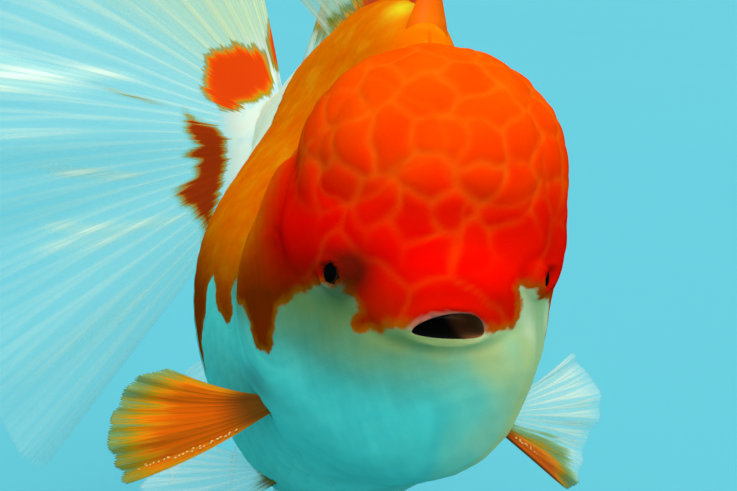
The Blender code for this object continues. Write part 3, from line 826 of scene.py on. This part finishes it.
def smooth_bend(values, u):
    """Read a short list of values at u from 0 to 1 along a smooth curve through them."""
    values = np.array(values, float)
    n = len(values) - 1
    s = np.clip(u, 0, 1) * n
    i = np.clip(s.astype(int), 0, n - 1)
    t = (s - i).reshape((-1,) + (1,) * (values.ndim - 1))
    a, b, c, d = (values[np.clip(i + k, 0, n)] for k in (-1, 0, 1, 2))
    return 0.5 * (2 * b + (c - a) * t + (2 * a - 5 * b + 4 * c - d) * t ** 2
                  + (3 * b - a - 3 * c + d) * t ** 3)


def ray_share(u, v, rays):
    """1 on a ray's crest and 0 between rays; every ray forks, and its forks fork again."""
    t = np.abs((u * rays) % 1.0 - 0.5)
    first = 0.25 * ease(v, FORK_AT, 1.05)
    second = 0.12 * ease(v, FORK_AT + 0.25, 1.1)
    off = np.abs(np.abs(t - first) - second)
    return swell(off, 0, RAY_WIDTH * (1 - 0.45 * v))


def fin_mesh(name, roots, rays, lengths, sweep, ruffle, waves, fan, fray, across, along, seed, phase=0.0,
             crimp=0.5, spine=0.0, ray_rise=RAY_RISE, rays_from=0.0):
    """The fin as a closed sheet, with its own place (u across the rays, v along them) returned.

    fan is the number of rays; fray the share of the length by which the skin between two rays
    falls short; crimp the height of small folds in the free edge; spine thickens the first ray."""
    u, v = np.meshgrid(np.linspace(0, 1, across), np.linspace(0, 1, along), indexing='ij')
    u, v = u.ravel(), v.ravel()
    crest = ray_share(u, v, fan)
    uneven = wobble(np.stack([u * 60, u * 0], -1), 9.0, seed) * 0.6
    short = fray * (1 - crest) * (0.6 + 0.5 * uneven) + 0.02 * uneven
    length_share = v * (1 - np.clip(short, -0.01, 0.2) * ease(v, 0.8, 1.0))

    def sheet(at):
        d = unit(smooth_bend(rays, at))
        return smooth_bend(roots, at) + d * (smooth_bend(lengths, at) * length_share)[:, None]

    across_sheet = sheet(np.clip(u + 0.02, 0, 1)) - sheet(np.clip(u - 0.02, 0, 1))
    normal = unit(np.cross(unit(smooth_bend(rays, u)), across_sheet))
    middle = sheet(u) + np.array(sweep, float) * (length_share ** 2)[:, None]
    wave = ruffle * v ** 1.6 * np.sin(2 * math.pi * waves * u + phase)
    wave += crimp * v ** 3 * np.sin(2 * math.pi * (waves * 3.7) * u + 2.2 * v + phase)
    wave += 0.25 * crimp * v ** 2 * wobble(np.stack([u * 70, v * 12], -1), 8.0, seed + 1)
    middle = middle + normal * wave[:, None]
    half = MEMBRANE * (1 - 0.5 * v) + 0.35 * (1 - ease(v, 0, 0.12))
    half += ray_rise * crest * (1 - 0.65 * v) * ease(v, rays_from - 0.01, rays_from + 0.14)
    half += spine * swell(u, 0, 0.04) * (1 - 0.8 * v) * (1 + 0.7 * (1 - ease(v, 0.06, 0.22)))
    grid = np.arange(across * along).reshape(across, along)
    quads = np.stack([grid[:-1, :-1], grid[1:, :-1], grid[1:, 1:], grid[:-1, 1:]], -1).reshape(-1, 4)
    border = np.concatenate([grid[:, 0], grid[-1, 1:], grid[-2::-1, -1], grid[0, -2:0:-1]])
    ahead = np.roll(border, -1)
    far = across * along
    rim = np.stack([ahead, border, border + far, ahead + far], -1)
    faces = np.concatenate([quads, quads[:, ::-1] + far, rim])
    p = np.concatenate([middle + normal * half[:, None], middle - normal * half[:, None]])
    a, b, c = p[faces[:, 0]], p[faces[:, 1]], p[faces[:, 2]]
    if np.einsum('ij,ij->i', a, np.cross(b, c)).sum() + np.einsum(
            'ij,ij->i', a, np.cross(c, p[faces[:, 3]])).sum() < 0:
        faces = faces[:, ::-1]
    mesh = bpy.data.meshes.new(name)
    mesh.from_pydata(pose(p).tolist(), [], faces.tolist())
    mesh.shade_smooth()
    u, v = np.tile(u, 2), np.tile(v, 2)
    corners = np.empty(len(mesh.loops), int)
    mesh.loops.foreach_get("vertex_index", corners)
    run = np.mean(lengths)
    place = np.stack([u, v], -1)[corners]
    mesh.uv_layers.new(name="fin_place").data.foreach_set("uv", place.astype(np.float32).ravel())
    set_values(mesh, "crest", np.tile(crest, 2))
    return mesh, u, v, run


def fin_material(name, ray_code, skin_code, patch_stops, fringe_code, thin, thick, dark_code="#6E2000"):
    """Fin skin: clear between pale rays, opaque where it carries colour.

    patch_stops colour the marking from its edge inwards; thin and thick are how solid the skin
    between the rays and the rays themselves look."""
    mat, tree = new_material(name)
    crest, veil, patch, cream, fleshy, fringe, dark, stain, root = (
        put(tree, "Attribute", out="Fac", attribute_name=key)
        for key in ("crest", "veil", "patch", "cream", "fleshy", "fringe", "dark", "stain", "root"))
    # streaks run along the rays: fine ones 170 to a fin's width, and bands 34 to it
    spot = put(tree, "UVMap", uv_map="fin_place")
    streaks = put(tree, "Mapping", {"Vector": spot, "Scale": (170.0, 3.0, 1.0)})
    streaks = put(tree, "TexNoise", {"Vector": streaks, "Scale": 1.0, "Detail": 3.0})
    bands = put(tree, "Mapping", {"Vector": spot, "Scale": (34.0, 2.2, 1.0)})
    bands = put(tree, "TexNoise", {"Vector": bands, "Scale": 1.0, "Detail": 2.0})
    ragged = put(tree, "Math", [streaks, 7.0, -6.0], operation='MULTIPLY_ADD')
    ragged = put(tree, "Math", [bands, 5.0, ragged], operation='MULTIPLY_ADD')
    patch = put(tree, "Math", [patch, ragged], operation='ADD')
    # shares that grow with the depth inside the patch, and with the streaks and the rays
    depth, in_patch, near_patch, deep, patch_solid, uneven, stain_streaks, ray_solid = (
        put(tree, "MapRange", values, interpolation_type='SMOOTHSTEP') for values in (
            [patch, 0.0, 6.0], [patch, -0.4, 0.6], [patch, -2.6, -0.4], [patch, 0.8, 3.2],
            [patch, 0.5, 3.0, 0.6, 0.98], [streaks, 0.25, 0.75, 0.65, 1.25], [streaks, 0.3, 0.6],
            [crest, 0.0, 1.0, thin, thick]))
    fringe, dark, stain, clear, painted = (
        put(tree, "Math", pair, operation='MULTIPLY') for pair in (
            [near_patch, fringe], [dark, deep], [stain, stain_streaks], [ray_solid, uneven],
            [in_patch, patch_solid]))
    place = put(tree, "TexCoord", out="Object")
    flesh = put(tree, "TexNoise", {"Vector": place, "Scale": 1 / (7 * MM)})
    flesh = put(tree, "ValToRGB", [flesh], stops=[(0.3, "#B8DCE4"), (0.5, "#F2EEDC"), (0.7, "#FBE2D2")])
    marked = put(tree, "ValToRGB", [depth], stops=patch_stops)
    marked = put(tree, "Mix", {0: dark, 6: marked, 7: dark_code}, out=2, data_type='RGBA')
    colour = skin_code
    for share, over in ((crest, ray_code), (cream, "#DCDA9E"), (fleshy, flesh), (fringe, fringe_code),
                        (in_patch, marked), (stain, "#9A8C10")):
        colour = put(tree, "Mix", {0: share, 6: colour, 7: over}, out=2, data_type='RGBA')
    solid, fringe_solid, stain_solid = (
        put(tree, "Math", pair, operation='MULTIPLY')
        for pair in ([clear, veil], [fringe, 0.6], [stain, 0.8]))
    for cover in (painted, fringe_solid, stain_solid, root):
        solid = put(tree, "Math", [solid, cover], operation='MAXIMUM')
    solid = put(tree, "Math", [solid, 1.0], operation='MINIMUM')
    bare = put(tree, "Math", [1.0, root], operation='SUBTRACT')
    relief = put(tree, "Math", [streaks, bare], operation='MULTIPLY')
    bump = put(tree, "Bump", {"Height": relief, "Distance": 0.12 * MM, "Strength": 0.4})
    film = put(tree, "BsdfPrincipled", {
        "Base Color": colour, "Roughness": 0.38, "IOR": 1.36, "Alpha": solid, "Normal": bump,
        "Specular IOR Level": 0.06})
    put(tree, "OutputMaterial", {"Surface": film})
    return mat


def finish_fin(name, mesh, node, slot, finish, **looks):
    """Give a fin the values that its finish reads, each one number or one for every point, and
    its place on the body: patch is the depth inside the coloured patch in millimetres, fringe its
    pale border, veil how solid the skin is, root the fleshy foot; the rest tint it."""
    for key in ("patch", "fringe", "veil", "root", "dark", "cream", "stain", "fleshy"):
        set_values(mesh, key, looks.get(key, 0.0) + np.zeros(len(mesh.vertices)))
    mesh.materials.append(finish)
    fin = show(name, mesh)
    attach(fin, "root")
    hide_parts(node)


# ---- the dorsal fin ----
# A tall sail on the back: a thick, red-orange front spine, yellow skin at its foot, and pale
# rays that lean back behind it.
# fin skin, thin and wet: pale rays in clear skin, its marking going from yellow to red-orange
dorsal_skin = fin_material("dorsal_fin_skin", "#F2E6C0", "#E4E8CC",
                           [(0.0, "#B8960C"), (0.3, "#FFB400"), (0.6, "#FF7200"), (1.0, "#FF4800")],
                           "#8E9A20", 0.42, 0.8)
ridge = [skin_point((0, y, 10), (0, 0, 1), 3.5) for y in (42, 52, 63, 75, 88)]
mesh, u, v, run = fin_mesh(
    "dorsal_fin_skin", ridge, [(-0.05, 0.22, 1), (-0.30, 0.45, 1), (-0.42, 0.75, 0.9), (-0.40, 1.0, 0.6)],
    [46, 50, 44, 36, 26], (0, 6, 0), 1.5, 1.5, 17, 0.05, 220, 56, 61, spine=2.0)
mark = outline_depth(np.stack([u * 50, v * run], -1),
                     [(-5, -5), (-5, 30), (6, 26), (14, 16), (28, 13), (40, 8), (46, 10), (55, -5)])
finish_fin("dorsal_fin_sail", mesh, "dorsal_fin", "dorsal_fin_membrane", dorsal_skin,
           patch=mark, fringe=1.0, veil=0.7 + 0.3 * (1 - v), root=0.97 * (1 - ease(v, 0.06, 0.30)))

# ---- the paired fins ----
# Pectoral fins held out like oars, orange with clear tips and a stout front ray, white pelvic
# fins under the belly, and a pair of small white anal fins.
# fin skin again, its marking going from olive to orange; the white fins are nearly clear
pectoral_skin = fin_material("pectoral_fin_skin", "#F0EBD2", "#D8E8DC",
                             [(0.0, "#8C941C"), (0.35, "#BC8C0C"), (0.65, "#F47A04"), (1.0, "#E65800")],
                             "#A8B04A", 0.30, 0.62, "#5A3008")
white_skin = fin_material("white_fin_skin", "#F1F4EA", "#CFE9E2",
                          [(0.0, "#7A6A28"), (1.0, "#5A3A14")], "#9AA868", 0.20, 0.42)
# breeding tubercles: chalky, horny beads, 0.4 mm wide, that males grow on the front rays
bm = bmesh.new()
bmesh.ops.create_icosphere(bm, subdivisions=1, radius=0.19)
bmesh.ops.scale(bm, verts=bm.verts, vec=(2.0, 1.0, 0.8))
tubercle = bpy.data.meshes.new("tubercle")
bm.to_mesh(tubercle)
bm.free()
tubercle.shade_smooth()
tubercle = show("tubercle", tubercle)
tubercle_horn, tree = new_material("breeding_tubercle")
place = put(tree, "TexCoord", out="Object")
chalk = put(tree, "TexNoise", {"Vector": place, "Scale": 1 / (0.6 * MM)})
chalk = put(tree, "ValToRGB", [chalk], stops=[(0.3, "#F0A040"), (0.7, "#FCC070")])
horn = put(tree, "BsdfPrincipled", {"Base Color": chalk, "Roughness": 0.5})
put(tree, "OutputMaterial", {"Surface": horn})
BEAD_RAY, BEADS = 0.15, 26             # place across the fin of the ray with tubercles; how many
PECTORAL_RAYS = {"right": [(-0.66, 0.39, -0.83), (-0.75, 0.48, -0.50), (-0.73, 0.54, -0.20)],
                 "left": [(0.92, 0.42, -0.55), (0.98, 0.50, -0.12), (0.92, 0.60, 0.34)]}
PECTORAL_LENGTHS = {"right": [32, 31.5, 30, 28, 24.5, 18], "left": [32, 33, 34, 34, 31, 27]}
PECTORAL_SWEEP = np.array([0, 3.0, 2.0])
PECTORAL_PATCH = {"right": [(-6, -6), (-6, 30), (4, 30), (12, 29), (20, 28.5), (27, 28), (36, 26), (36, -6)],
                  "left": [(-6, -6), (-6, 30), (2.0, 33), (4.5, 28), (7.5, 24), (9.5, 17), (9, 8), (14, 3),
                           (36, 2), (36, -6)]}
for side, name in ((1, "left"), (-1, "right")):
    base = [skin_point((0, 27, z), (side, 0.1, -0.25), 2.5) for z in (-17.0, -15.4)]
    rays, lengths = PECTORAL_RAYS[name], PECTORAL_LENGTHS[name]
    mesh, u, v, run = fin_mesh(
        "pectoral_skin_" + name, base, rays, lengths, PECTORAL_SWEEP, 1.0, 2.0, 15, 0.05, 176, 48, 71 + side,
        crimp=0.35, spine=0.45, ray_rise=0.12, rays_from=0.2)
    mark = outline_depth(np.stack([u * 30, v * run], -1), PECTORAL_PATCH[name])
    finish_fin("pectoral_fan_" + name, mesh, "pectoral_fin_" + name, "pectoral_fin_membrane", pectoral_skin,
               patch=mark * {"right": 0.45, "left": 1.0}[name], fringe=1.0,
               veil=(1.0 - 0.25 * v) * (1 - 0.6 * ease(v, 0.8, 1.0)), root=0.97 * (1 - ease(v, 0.05, 0.2)),
               dark=0.85 * (1 - ease(v - 0.12 * u, 0.1, 0.36)))
    scatter = np.random.default_rng(12)
    beads = np.linspace(0.28, 0.86, BEADS) + scatter.uniform(-0.012, 0.012, BEADS)
    bead_ray = BEAD_RAY + scatter.uniform(-0.02, 0.02, BEADS)
    d = unit(smooth_bend(rays, bead_ray))
    reach = beads * smooth_bend(lengths, bead_ray)
    p = smooth_bend(base, bead_ray) + d * reach[:, None] + PECTORAL_SWEEP * (beads ** 2)[:, None]
    face_out = np.tile(unit(np.array([0.0, -1.0, -0.3])), (BEADS, 1))
    mesh = plant("tubercles_" + name, planting, p + face_out * 0.45, face_out, d, 1.05 - 0.5 * beads,
                 tubercle, tubercle_horn, 0.0, 0.3, 3)
    set_points(mesh, pose(points_of(mesh)))
    rough = show("tubercles_" + name, mesh)
    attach(rough, "root")

    pelvic = [skin_point((0, y, -20), (side * 0.45, 0, -1), 3.0) for y in (44, 51)]
    mesh, u, v, run = fin_mesh(
        "pelvic_skin_" + name, pelvic,
        [(side * 0.50, 0.40, -0.75), (side * 0.50, 0.80, -0.50), (side * 0.30, 1.0, -0.20)],
        [34, 32, 25], (0, 5, 0), 1.2, 1.5, 9, 0.10, 130, 44, 81 + side, crimp=0.35, spine=0.25)
    mark = outline_depth(np.stack([u * 30, v * run], -1), [(-6, -6), (-6, 6), (8, 5), (14, 2), (16, -6)])
    finish_fin("pelvic_fan_" + name, mesh, "pelvic_fin_" + name, "white_fin_membrane", white_skin,
               patch=mark if name == "right" else NO_PATCH, fringe=0.6, veil=1.0 - 0.3 * v,
               root=0.97 * (1 - ease(v, 0.05, 0.25)))

    anal = [skin_point((0, y, 2), (side * 0.25, 0, -1), 2.5) for y in (84, 91)]
    mesh, u, v, _ = fin_mesh(
        "anal_skin_" + name, anal,
        [(side * 0.26, 0.15, -0.95), (side * 0.30, 0.38, -0.85), (side * 0.26, 0.62, -0.65)],
        [27, 25, 18], (0, 3, -1), 1.0, 1.5, 7, 0.10, 110, 40, 91 + side, crimp=0.3, spine=0.2)
    finish_fin("anal_fan_" + name, mesh, "anal_fin_" + name, "white_fin_membrane", white_skin,
               patch=NO_PATCH, veil=1.0 - 0.3 * v, root=0.97 * (1 - ease(v, 0.05, 0.25)))
bpy.data.objects.remove(tubercle, do_unlink=True)

# ---- the tail ----
# A double veil tail: two tall fans of forked rays from one fleshy root, milky near the rays and
# almost clear between them, with red-orange and dark orange patches on the right fan.
tail_skin = fin_material("tail_fin_skin", "#EAF0DC", "#C8E6DC",
                         [(0.0, "#A8980C"), (0.3, "#E88A04"), (0.6, "#FF5000"), (1.0, "#F44000")],
                         "#9AA43C", 0.21, 0.30, "#8A2600")
PATCHES = {
    "right": [[(6, 12), (15, 18), (23, 22), (34, 20), (39.5, 14), (38, 9.5), (26, 5), (15, 2.5), (8, 4),
               (7, 8)],
              [(-4, 20), (1, 19), (4.5, 14), (5, 8), (2, 5), (-4, 5)],
              [(43, 25), (46, 20), (47, 15.5), (55, 12), (68, 11.5), (81, 14), (89, 17.5), (94, 23),
               (89, 22.5), (83, 24.5), (74, 29.5), (71, 23), (65, 22), (61, 26), (57, 22), (51, 25)]],
    "left": [[(-4, 27), (4, 28), (12, 33), (12, 24), (7, 17), (-4, 16)],
             [(40, 14), (52, 9), (70, 10), (74, 16), (60, 20), (46, 19)]],
}
# milky streaks that cross the rays at a slant: from a place across and along the fan to another,
# and how strong each is; the stain is a thin olive one
STREAKS = [(0.375, 0.40, 0.435, 0.90, 1.0), (0.43, 0.55, 0.45, 1.0, 0.7), (0.41, 0.62, 0.40, 0.92, 0.4),
           (0.66, 0.40, 0.59, 0.71, 1.0), (0.83, 0.26, 0.70, 0.74, 0.9), (0.80, 0.45, 0.73, 0.78, 0.5),
           (0.10, 0.30, 0.10, 0.80, 0.4), (0.20, 0.35, 0.22, 0.90, 0.3), (0.52, 0.55, 0.52, 0.85, 0.2),
           (0.92, 0.40, 0.88, 0.90, 0.2)]
STAIN = (0.425, 0.30, 0.408, 0.53, 1.0)
TAIL_SHIFT = {"left": 1.2, "right": 2.0}    # the fans' upper roots lie to the fish's left
TAIL_LENGTHS = {"left": [90, 77, 68, 72, 82], "right": [90, 87, 68, 72, 82]}


def streak(u, v, start_u, start_v, end_u, end_v, strength, width=0.011):
    """How strongly a slanting streak shows at a place on the fan."""
    along = (v - start_v) / (end_v - start_v)
    middle = start_u + (end_u - start_u) * along + 0.004 * np.sin(9 * v + 40 * start_u)
    return strength * ease(along, -0.15, 0.3) * (1 - ease(along, 0.7, 1.1)) * swell(u, middle, width)


for side, name in ((1, "left"), (-1, "right")):
    roots = [(side * 1.6 + TAIL_SHIFT[name], 116, 20.5), (side * 2.0, 115, 15), (side * 2.6, 112, 9),
             (side * 3.4, 108, 3)]
    rays = [(side * 0.25, 0.38, 0.88), (side * 0.64, 0.56, 0.39), (side * 0.80, 0.62, -0.13),
            (side * 0.58, 0.57, -0.52), (side * 0.24, 0.46, -0.89)]
    mesh, u, v, _ = fin_mesh(
        "tail_skin_" + name, roots, rays, TAIL_LENGTHS[name], (0, 6, -6), 4.0, 2.5, 30, 0.07, 480, 80,
        101 + side, crimp=0.9, spine=0.5, ray_rise=0.09, rays_from=0.14)
    spot = np.stack([u * 100, v * 100], -1)
    mark = np.max([outline_depth(spot, outline) for outline in PATCHES[name]], axis=0)
    mark = mark * np.where(mark > 0, {"left": 0.5, "right": 1.5}[name], 1.5)
    veil = 0.8 + 1.7 * (1 - ease(u, 0.10, 0.36)) * (1 - 0.35 * v) + 0.4 * (1 - ease(v, 0.1, 0.45))
    veil = veil * (1 - 0.45 * ease(v, 0.5, 1.0))
    for place in STREAKS:
        veil = veil + 2.6 * streak(u, v, *place)
    finish_fin("tail_veil_" + name, mesh, "tail_fin_" + name, "tail_fin_membrane", tail_skin,
               patch=mark, fringe=0.6 * ease(u, 0.3, 0.5) * ease(v, 0.14, 0.2), veil=veil,
               root=0.98 * (1 - ease(v, 0.05, 0.19)), dark=0.8 * ease(u, 0.38, 0.46),
               cream=0.8 * (1 - ease(u, 0.12, 0.4)), stain=streak(u, v, *STAIN, 0.006),
               fleshy=1 - ease(v, 0.08, 0.2))

# ---- the display stand ----
# A plain plinth of black satin-lacquered wood with a routed edge, and two brushed steel rods,
# each in a turned collar on the plinth, that carry the fish by its belly.
plinth_low, plinth_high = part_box("stand_base")
# the routed edge from the bottom up: how far in from the side, and how high, in metres
PROFILE = [(0.0, 0.0), (0.0, 0.0035), (0.0004, 0.0042), (0.0012, 0.0046), (0.0012, 0.0056), (0.0018, 0.0074),
           (0.0030, 0.0088), (0.0046, 0.0096), (0.0054, 0.0100)]
bm = bmesh.new()
CORNER, STEPS = 0.004, 8               # radius of the plinth's corners, and faces round each
ROUND_SHARE = 0.7                      # share of the inset that the corners' radius loses
rings = []
for inset, height in PROFILE:
    ring = []
    for k, (sx, sy) in enumerate(((1, 1), (-1, 1), (-1, -1), (1, -1))):
        for step in range(STEPS + 1):
            turn = math.pi / 2 * (k + step / STEPS)
            middle = (sx * (plinth_high.x - CORNER), sy * (plinth_high.y - CORNER))
            radius, shift = CORNER - inset * ROUND_SHARE, inset * (1 - ROUND_SHARE)
            ring.append(bm.verts.new((middle[0] + radius * math.cos(turn) - sx * shift,
                                      middle[1] + radius * math.sin(turn) - sy * shift,
                                      plinth_low.z + height)))
    rings.append(ring)
for low, high in zip(rings, rings[1:]):
    for k in range(len(low)):
        after = (k + 1) % len(low)
        bm.faces.new((low[k], low[after], high[after], high[k]))
bm.faces.new(list(reversed(rings[0])))
bm.faces.new(rings[-1])
bmesh.ops.recalc_face_normals(bm, faces=bm.faces)
plinth = bpy.data.meshes.new("stand_plinth")
bm.to_mesh(plinth)
bm.free()
plinth.shade_smooth()
plinth.set_sharp_from_angle(angle=math.radians(32))
# black satin lacquer sprayed over beech: the grain's pores, 1.2 mm apart, just telegraph through
# it, and broad 30 mm clouds of browner black break its evenness
lacquer, tree = new_material("black_satin_lacquer")
place = put(tree, "TexCoord", out="Object")
pore = put(tree, "Mapping", {"Vector": place, "Scale": (1.0, 0.06, 1.0)})
pore = put(tree, "TexNoise", {"Vector": pore, "Scale": 1 / (1.2 * MM), "Detail": 3.0, "Roughness": 0.6})
cloud = put(tree, "TexNoise", {"Vector": place, "Scale": 1 / (30 * MM)})
pore_share, cloud_share, gloss = (
    put(tree, "MapRange", values, interpolation_type='SMOOTHSTEP')
    for values in ([pore, 0.35, 0.7], [cloud, 0.4, 0.8, 0.0, 0.3], [pore, 0.3, 0.7, 0.34, 0.46]))
colour = "#0F0F10"
for share, over in ((pore_share, "#1B1A1A"), (cloud_share, "#26231F")):
    colour = put(tree, "Mix", {0: share, 6: colour, 7: over}, out=2, data_type='RGBA')
bump = put(tree, "Bump", {"Height": pore, "Distance": 0.06 * MM, "Strength": 0.35})
satin = put(tree, "BsdfPrincipled", {"Base Color": colour, "Roughness": gloss, "Normal": bump,
                                     "Coat Weight": 0.4, "Coat Roughness": 0.3})
put(tree, "OutputMaterial", {"Surface": satin})
plinth.materials.append(lacquer)
plinth = show("stand_plinth", plinth)
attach(plinth, "root")
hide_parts("stand_base")

# stainless steel, ground round the rod: brush lines 0.25 mm apart, drawn coarser than real ones so
# that they show, and a soft smudged sheen
steel, tree = new_material("brushed_stainless_steel")
place = put(tree, "TexCoord", out="Object")
brush = put(tree, "Mapping", {"Vector": place, "Scale": (0.15, 0.15, 1.0)})
brush = put(tree, "TexNoise", {"Vector": brush, "Scale": 1 / (0.25 * MM), "Detail": 3.0, "Roughness": 0.6})
smudge = put(tree, "TexNoise", {"Vector": place, "Scale": 1 / (8 * MM)})
smudge = put(tree, "MapRange", [smudge, 0.3, 0.7, 0.24, 0.36], interpolation_type='SMOOTHSTEP')
metal = put(tree, "Mix", {0: brush, 6: "#A9ABAD", 7: "#CDCFD1"}, out=2, data_type='RGBA')
bump = put(tree, "Bump", {"Height": brush, "Distance": 0.02 * MM, "Strength": 0.4})
metal = put(tree, "BsdfPrincipled", {"Base Color": metal, "Metallic": 1.0, "Roughness": smudge,
                                     "Normal": bump})
put(tree, "OutputMaterial", {"Surface": metal})
# a collar's section as it is turned: radius and height in millimetres
COLLAR = [(2.55, 0.0), (5.6, 0.0), (5.9, 0.3), (5.9, 1.6), (5.5, 2.1), (4.4, 2.5), (3.9, 3.2), (3.8, 4.6),
          (3.5, 5.0), (2.55, 5.0)]
for name in ("stand_rod_front", "stand_rod_rear"):
    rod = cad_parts[name]
    rod.data.materials.clear()
    rod.data.materials.append(steel)
    low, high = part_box(name)
    bm = bmesh.new()
    turned = [bm.verts.new((r * MM, 0, h * MM)) for r, h in COLLAR]
    for a, b in zip(turned, turned[1:] + turned[:1]):
        bm.edges.new((a, b))
    bmesh.ops.spin(bm, geom=bm.verts[:] + bm.edges[:], cent=(0, 0, 0), axis=(0, 0, 1), angle=2 * math.pi,
                   steps=64, use_duplicate=False)
    bmesh.ops.remove_doubles(bm, verts=bm.verts, dist=1e-6)
    bmesh.ops.recalc_face_normals(bm, faces=bm.faces)
    bmesh.ops.translate(bm, verts=bm.verts, vec=((low.x + high.x) / 2, (low.y + high.y) / 2, plinth_high.z))
    collar = bpy.data.meshes.new(name.replace("rod", "collar"))
    bm.to_mesh(collar)
    bm.free()
    collar.shade_smooth()
    collar.set_sharp_from_angle(angle=math.radians(35))
    collar.materials.append(steel)
    collar = show(collar.name, collar)
    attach(collar, "root")

# ---- the studio ----
# A plain pale aqua floor that reaches to the horizon, broad soft light from above and in front,
# and the camera ahead of the fish's face, a little above it.
FLOOR_REACH = 30.0                     # metres
bm = bmesh.new()
bmesh.ops.create_circle(bm, cap_ends=True, segments=64, radius=FLOOR_REACH)
ground = bpy.data.meshes.new("studio_floor")
bm.to_mesh(ground)
bm.free()
# matt aqua paper: half-metre clouds of a barely lighter tone
paper, tree = new_material("pale_aqua_paper")
place = put(tree, "TexCoord", out="Object")
cloud = put(tree, "TexNoise", {"Vector": place, "Scale": 1 / (500 * MM)})
tone = put(tree, "Mix", {0: cloud, 6: "#5FBCC9", 7: "#66C1CD"}, out=2, data_type='RGBA')
matt = put(tree, "BsdfPrincipled", {"Base Color": tone, "Roughness": 0.9})
put(tree, "OutputMaterial", {"Surface": matt})
ground.materials.append(paper)
floor = show("studio_floor", ground)


def soft_light(name, toward, spread, strength):
    """White light from a patch of sky that is spread degrees across, shining along toward."""
    lamp = bpy.data.lights.new(name, 'SUN')
    lamp.energy = strength
    lamp.angle = math.radians(spread)
    obj = bpy.data.objects.new(name, lamp)
    bpy.context.scene.collection.objects.link(obj)
    away = -unit(np.array(toward, float))
    obj.rotation_euler = (math.acos(away[2]), 0, math.atan2(away[1], away[0]) + math.pi / 2)


soft_light("key_from_above", (0.06, 0.46, -0.88), 50, 2.0)
soft_light("front_fill", (-0.3, 0.9, -0.16), 60, 1.5)
world = bpy.data.worlds.new("studio_air")
world.use_nodes = True
world.node_tree.nodes["Background"].inputs["Color"].default_value = srgb("#AEDEE6")
world.node_tree.nodes["Background"].inputs["Strength"].default_value = 0.75
bpy.context.scene.world = world
bpy.context.scene.view_settings.view_transform = 'Standard'

CAMERA_YAW, CAMERA_RISE, CAMERA_AWAY = math.radians(11), math.radians(10), 251.6
SLIDE_RIGHT, SLIDE_UP = -11.35, 11.06       # the mouth lies off the view's middle
away = np.array([-math.sin(CAMERA_YAW) * math.cos(CAMERA_RISE),
                 -math.cos(CAMERA_YAW) * math.cos(CAMERA_RISE), math.sin(CAMERA_RISE)])
right = np.array([math.cos(CAMERA_YAW), -math.sin(CAMERA_YAW), 0.0])
up = np.cross(away, right)
lens = bpy.data.cameras.new("camera")
lens.lens, lens.sensor_width, lens.clip_start = 85.0, 36.0, 0.01
camera = bpy.data.objects.new("camera", lens)
bpy.context.scene.collection.objects.link(camera)
mouth = np.array([0.0, MOUTH_Y, MOUTH_HEIGHT])
camera.location = (mouth + CAMERA_AWAY * away + SLIDE_RIGHT * right + SLIDE_UP * up) * MM
camera.rotation_euler = (math.pi / 2 - CAMERA_RISE, 0.0, -CAMERA_YAW)
bpy.context.scene.camera = camera
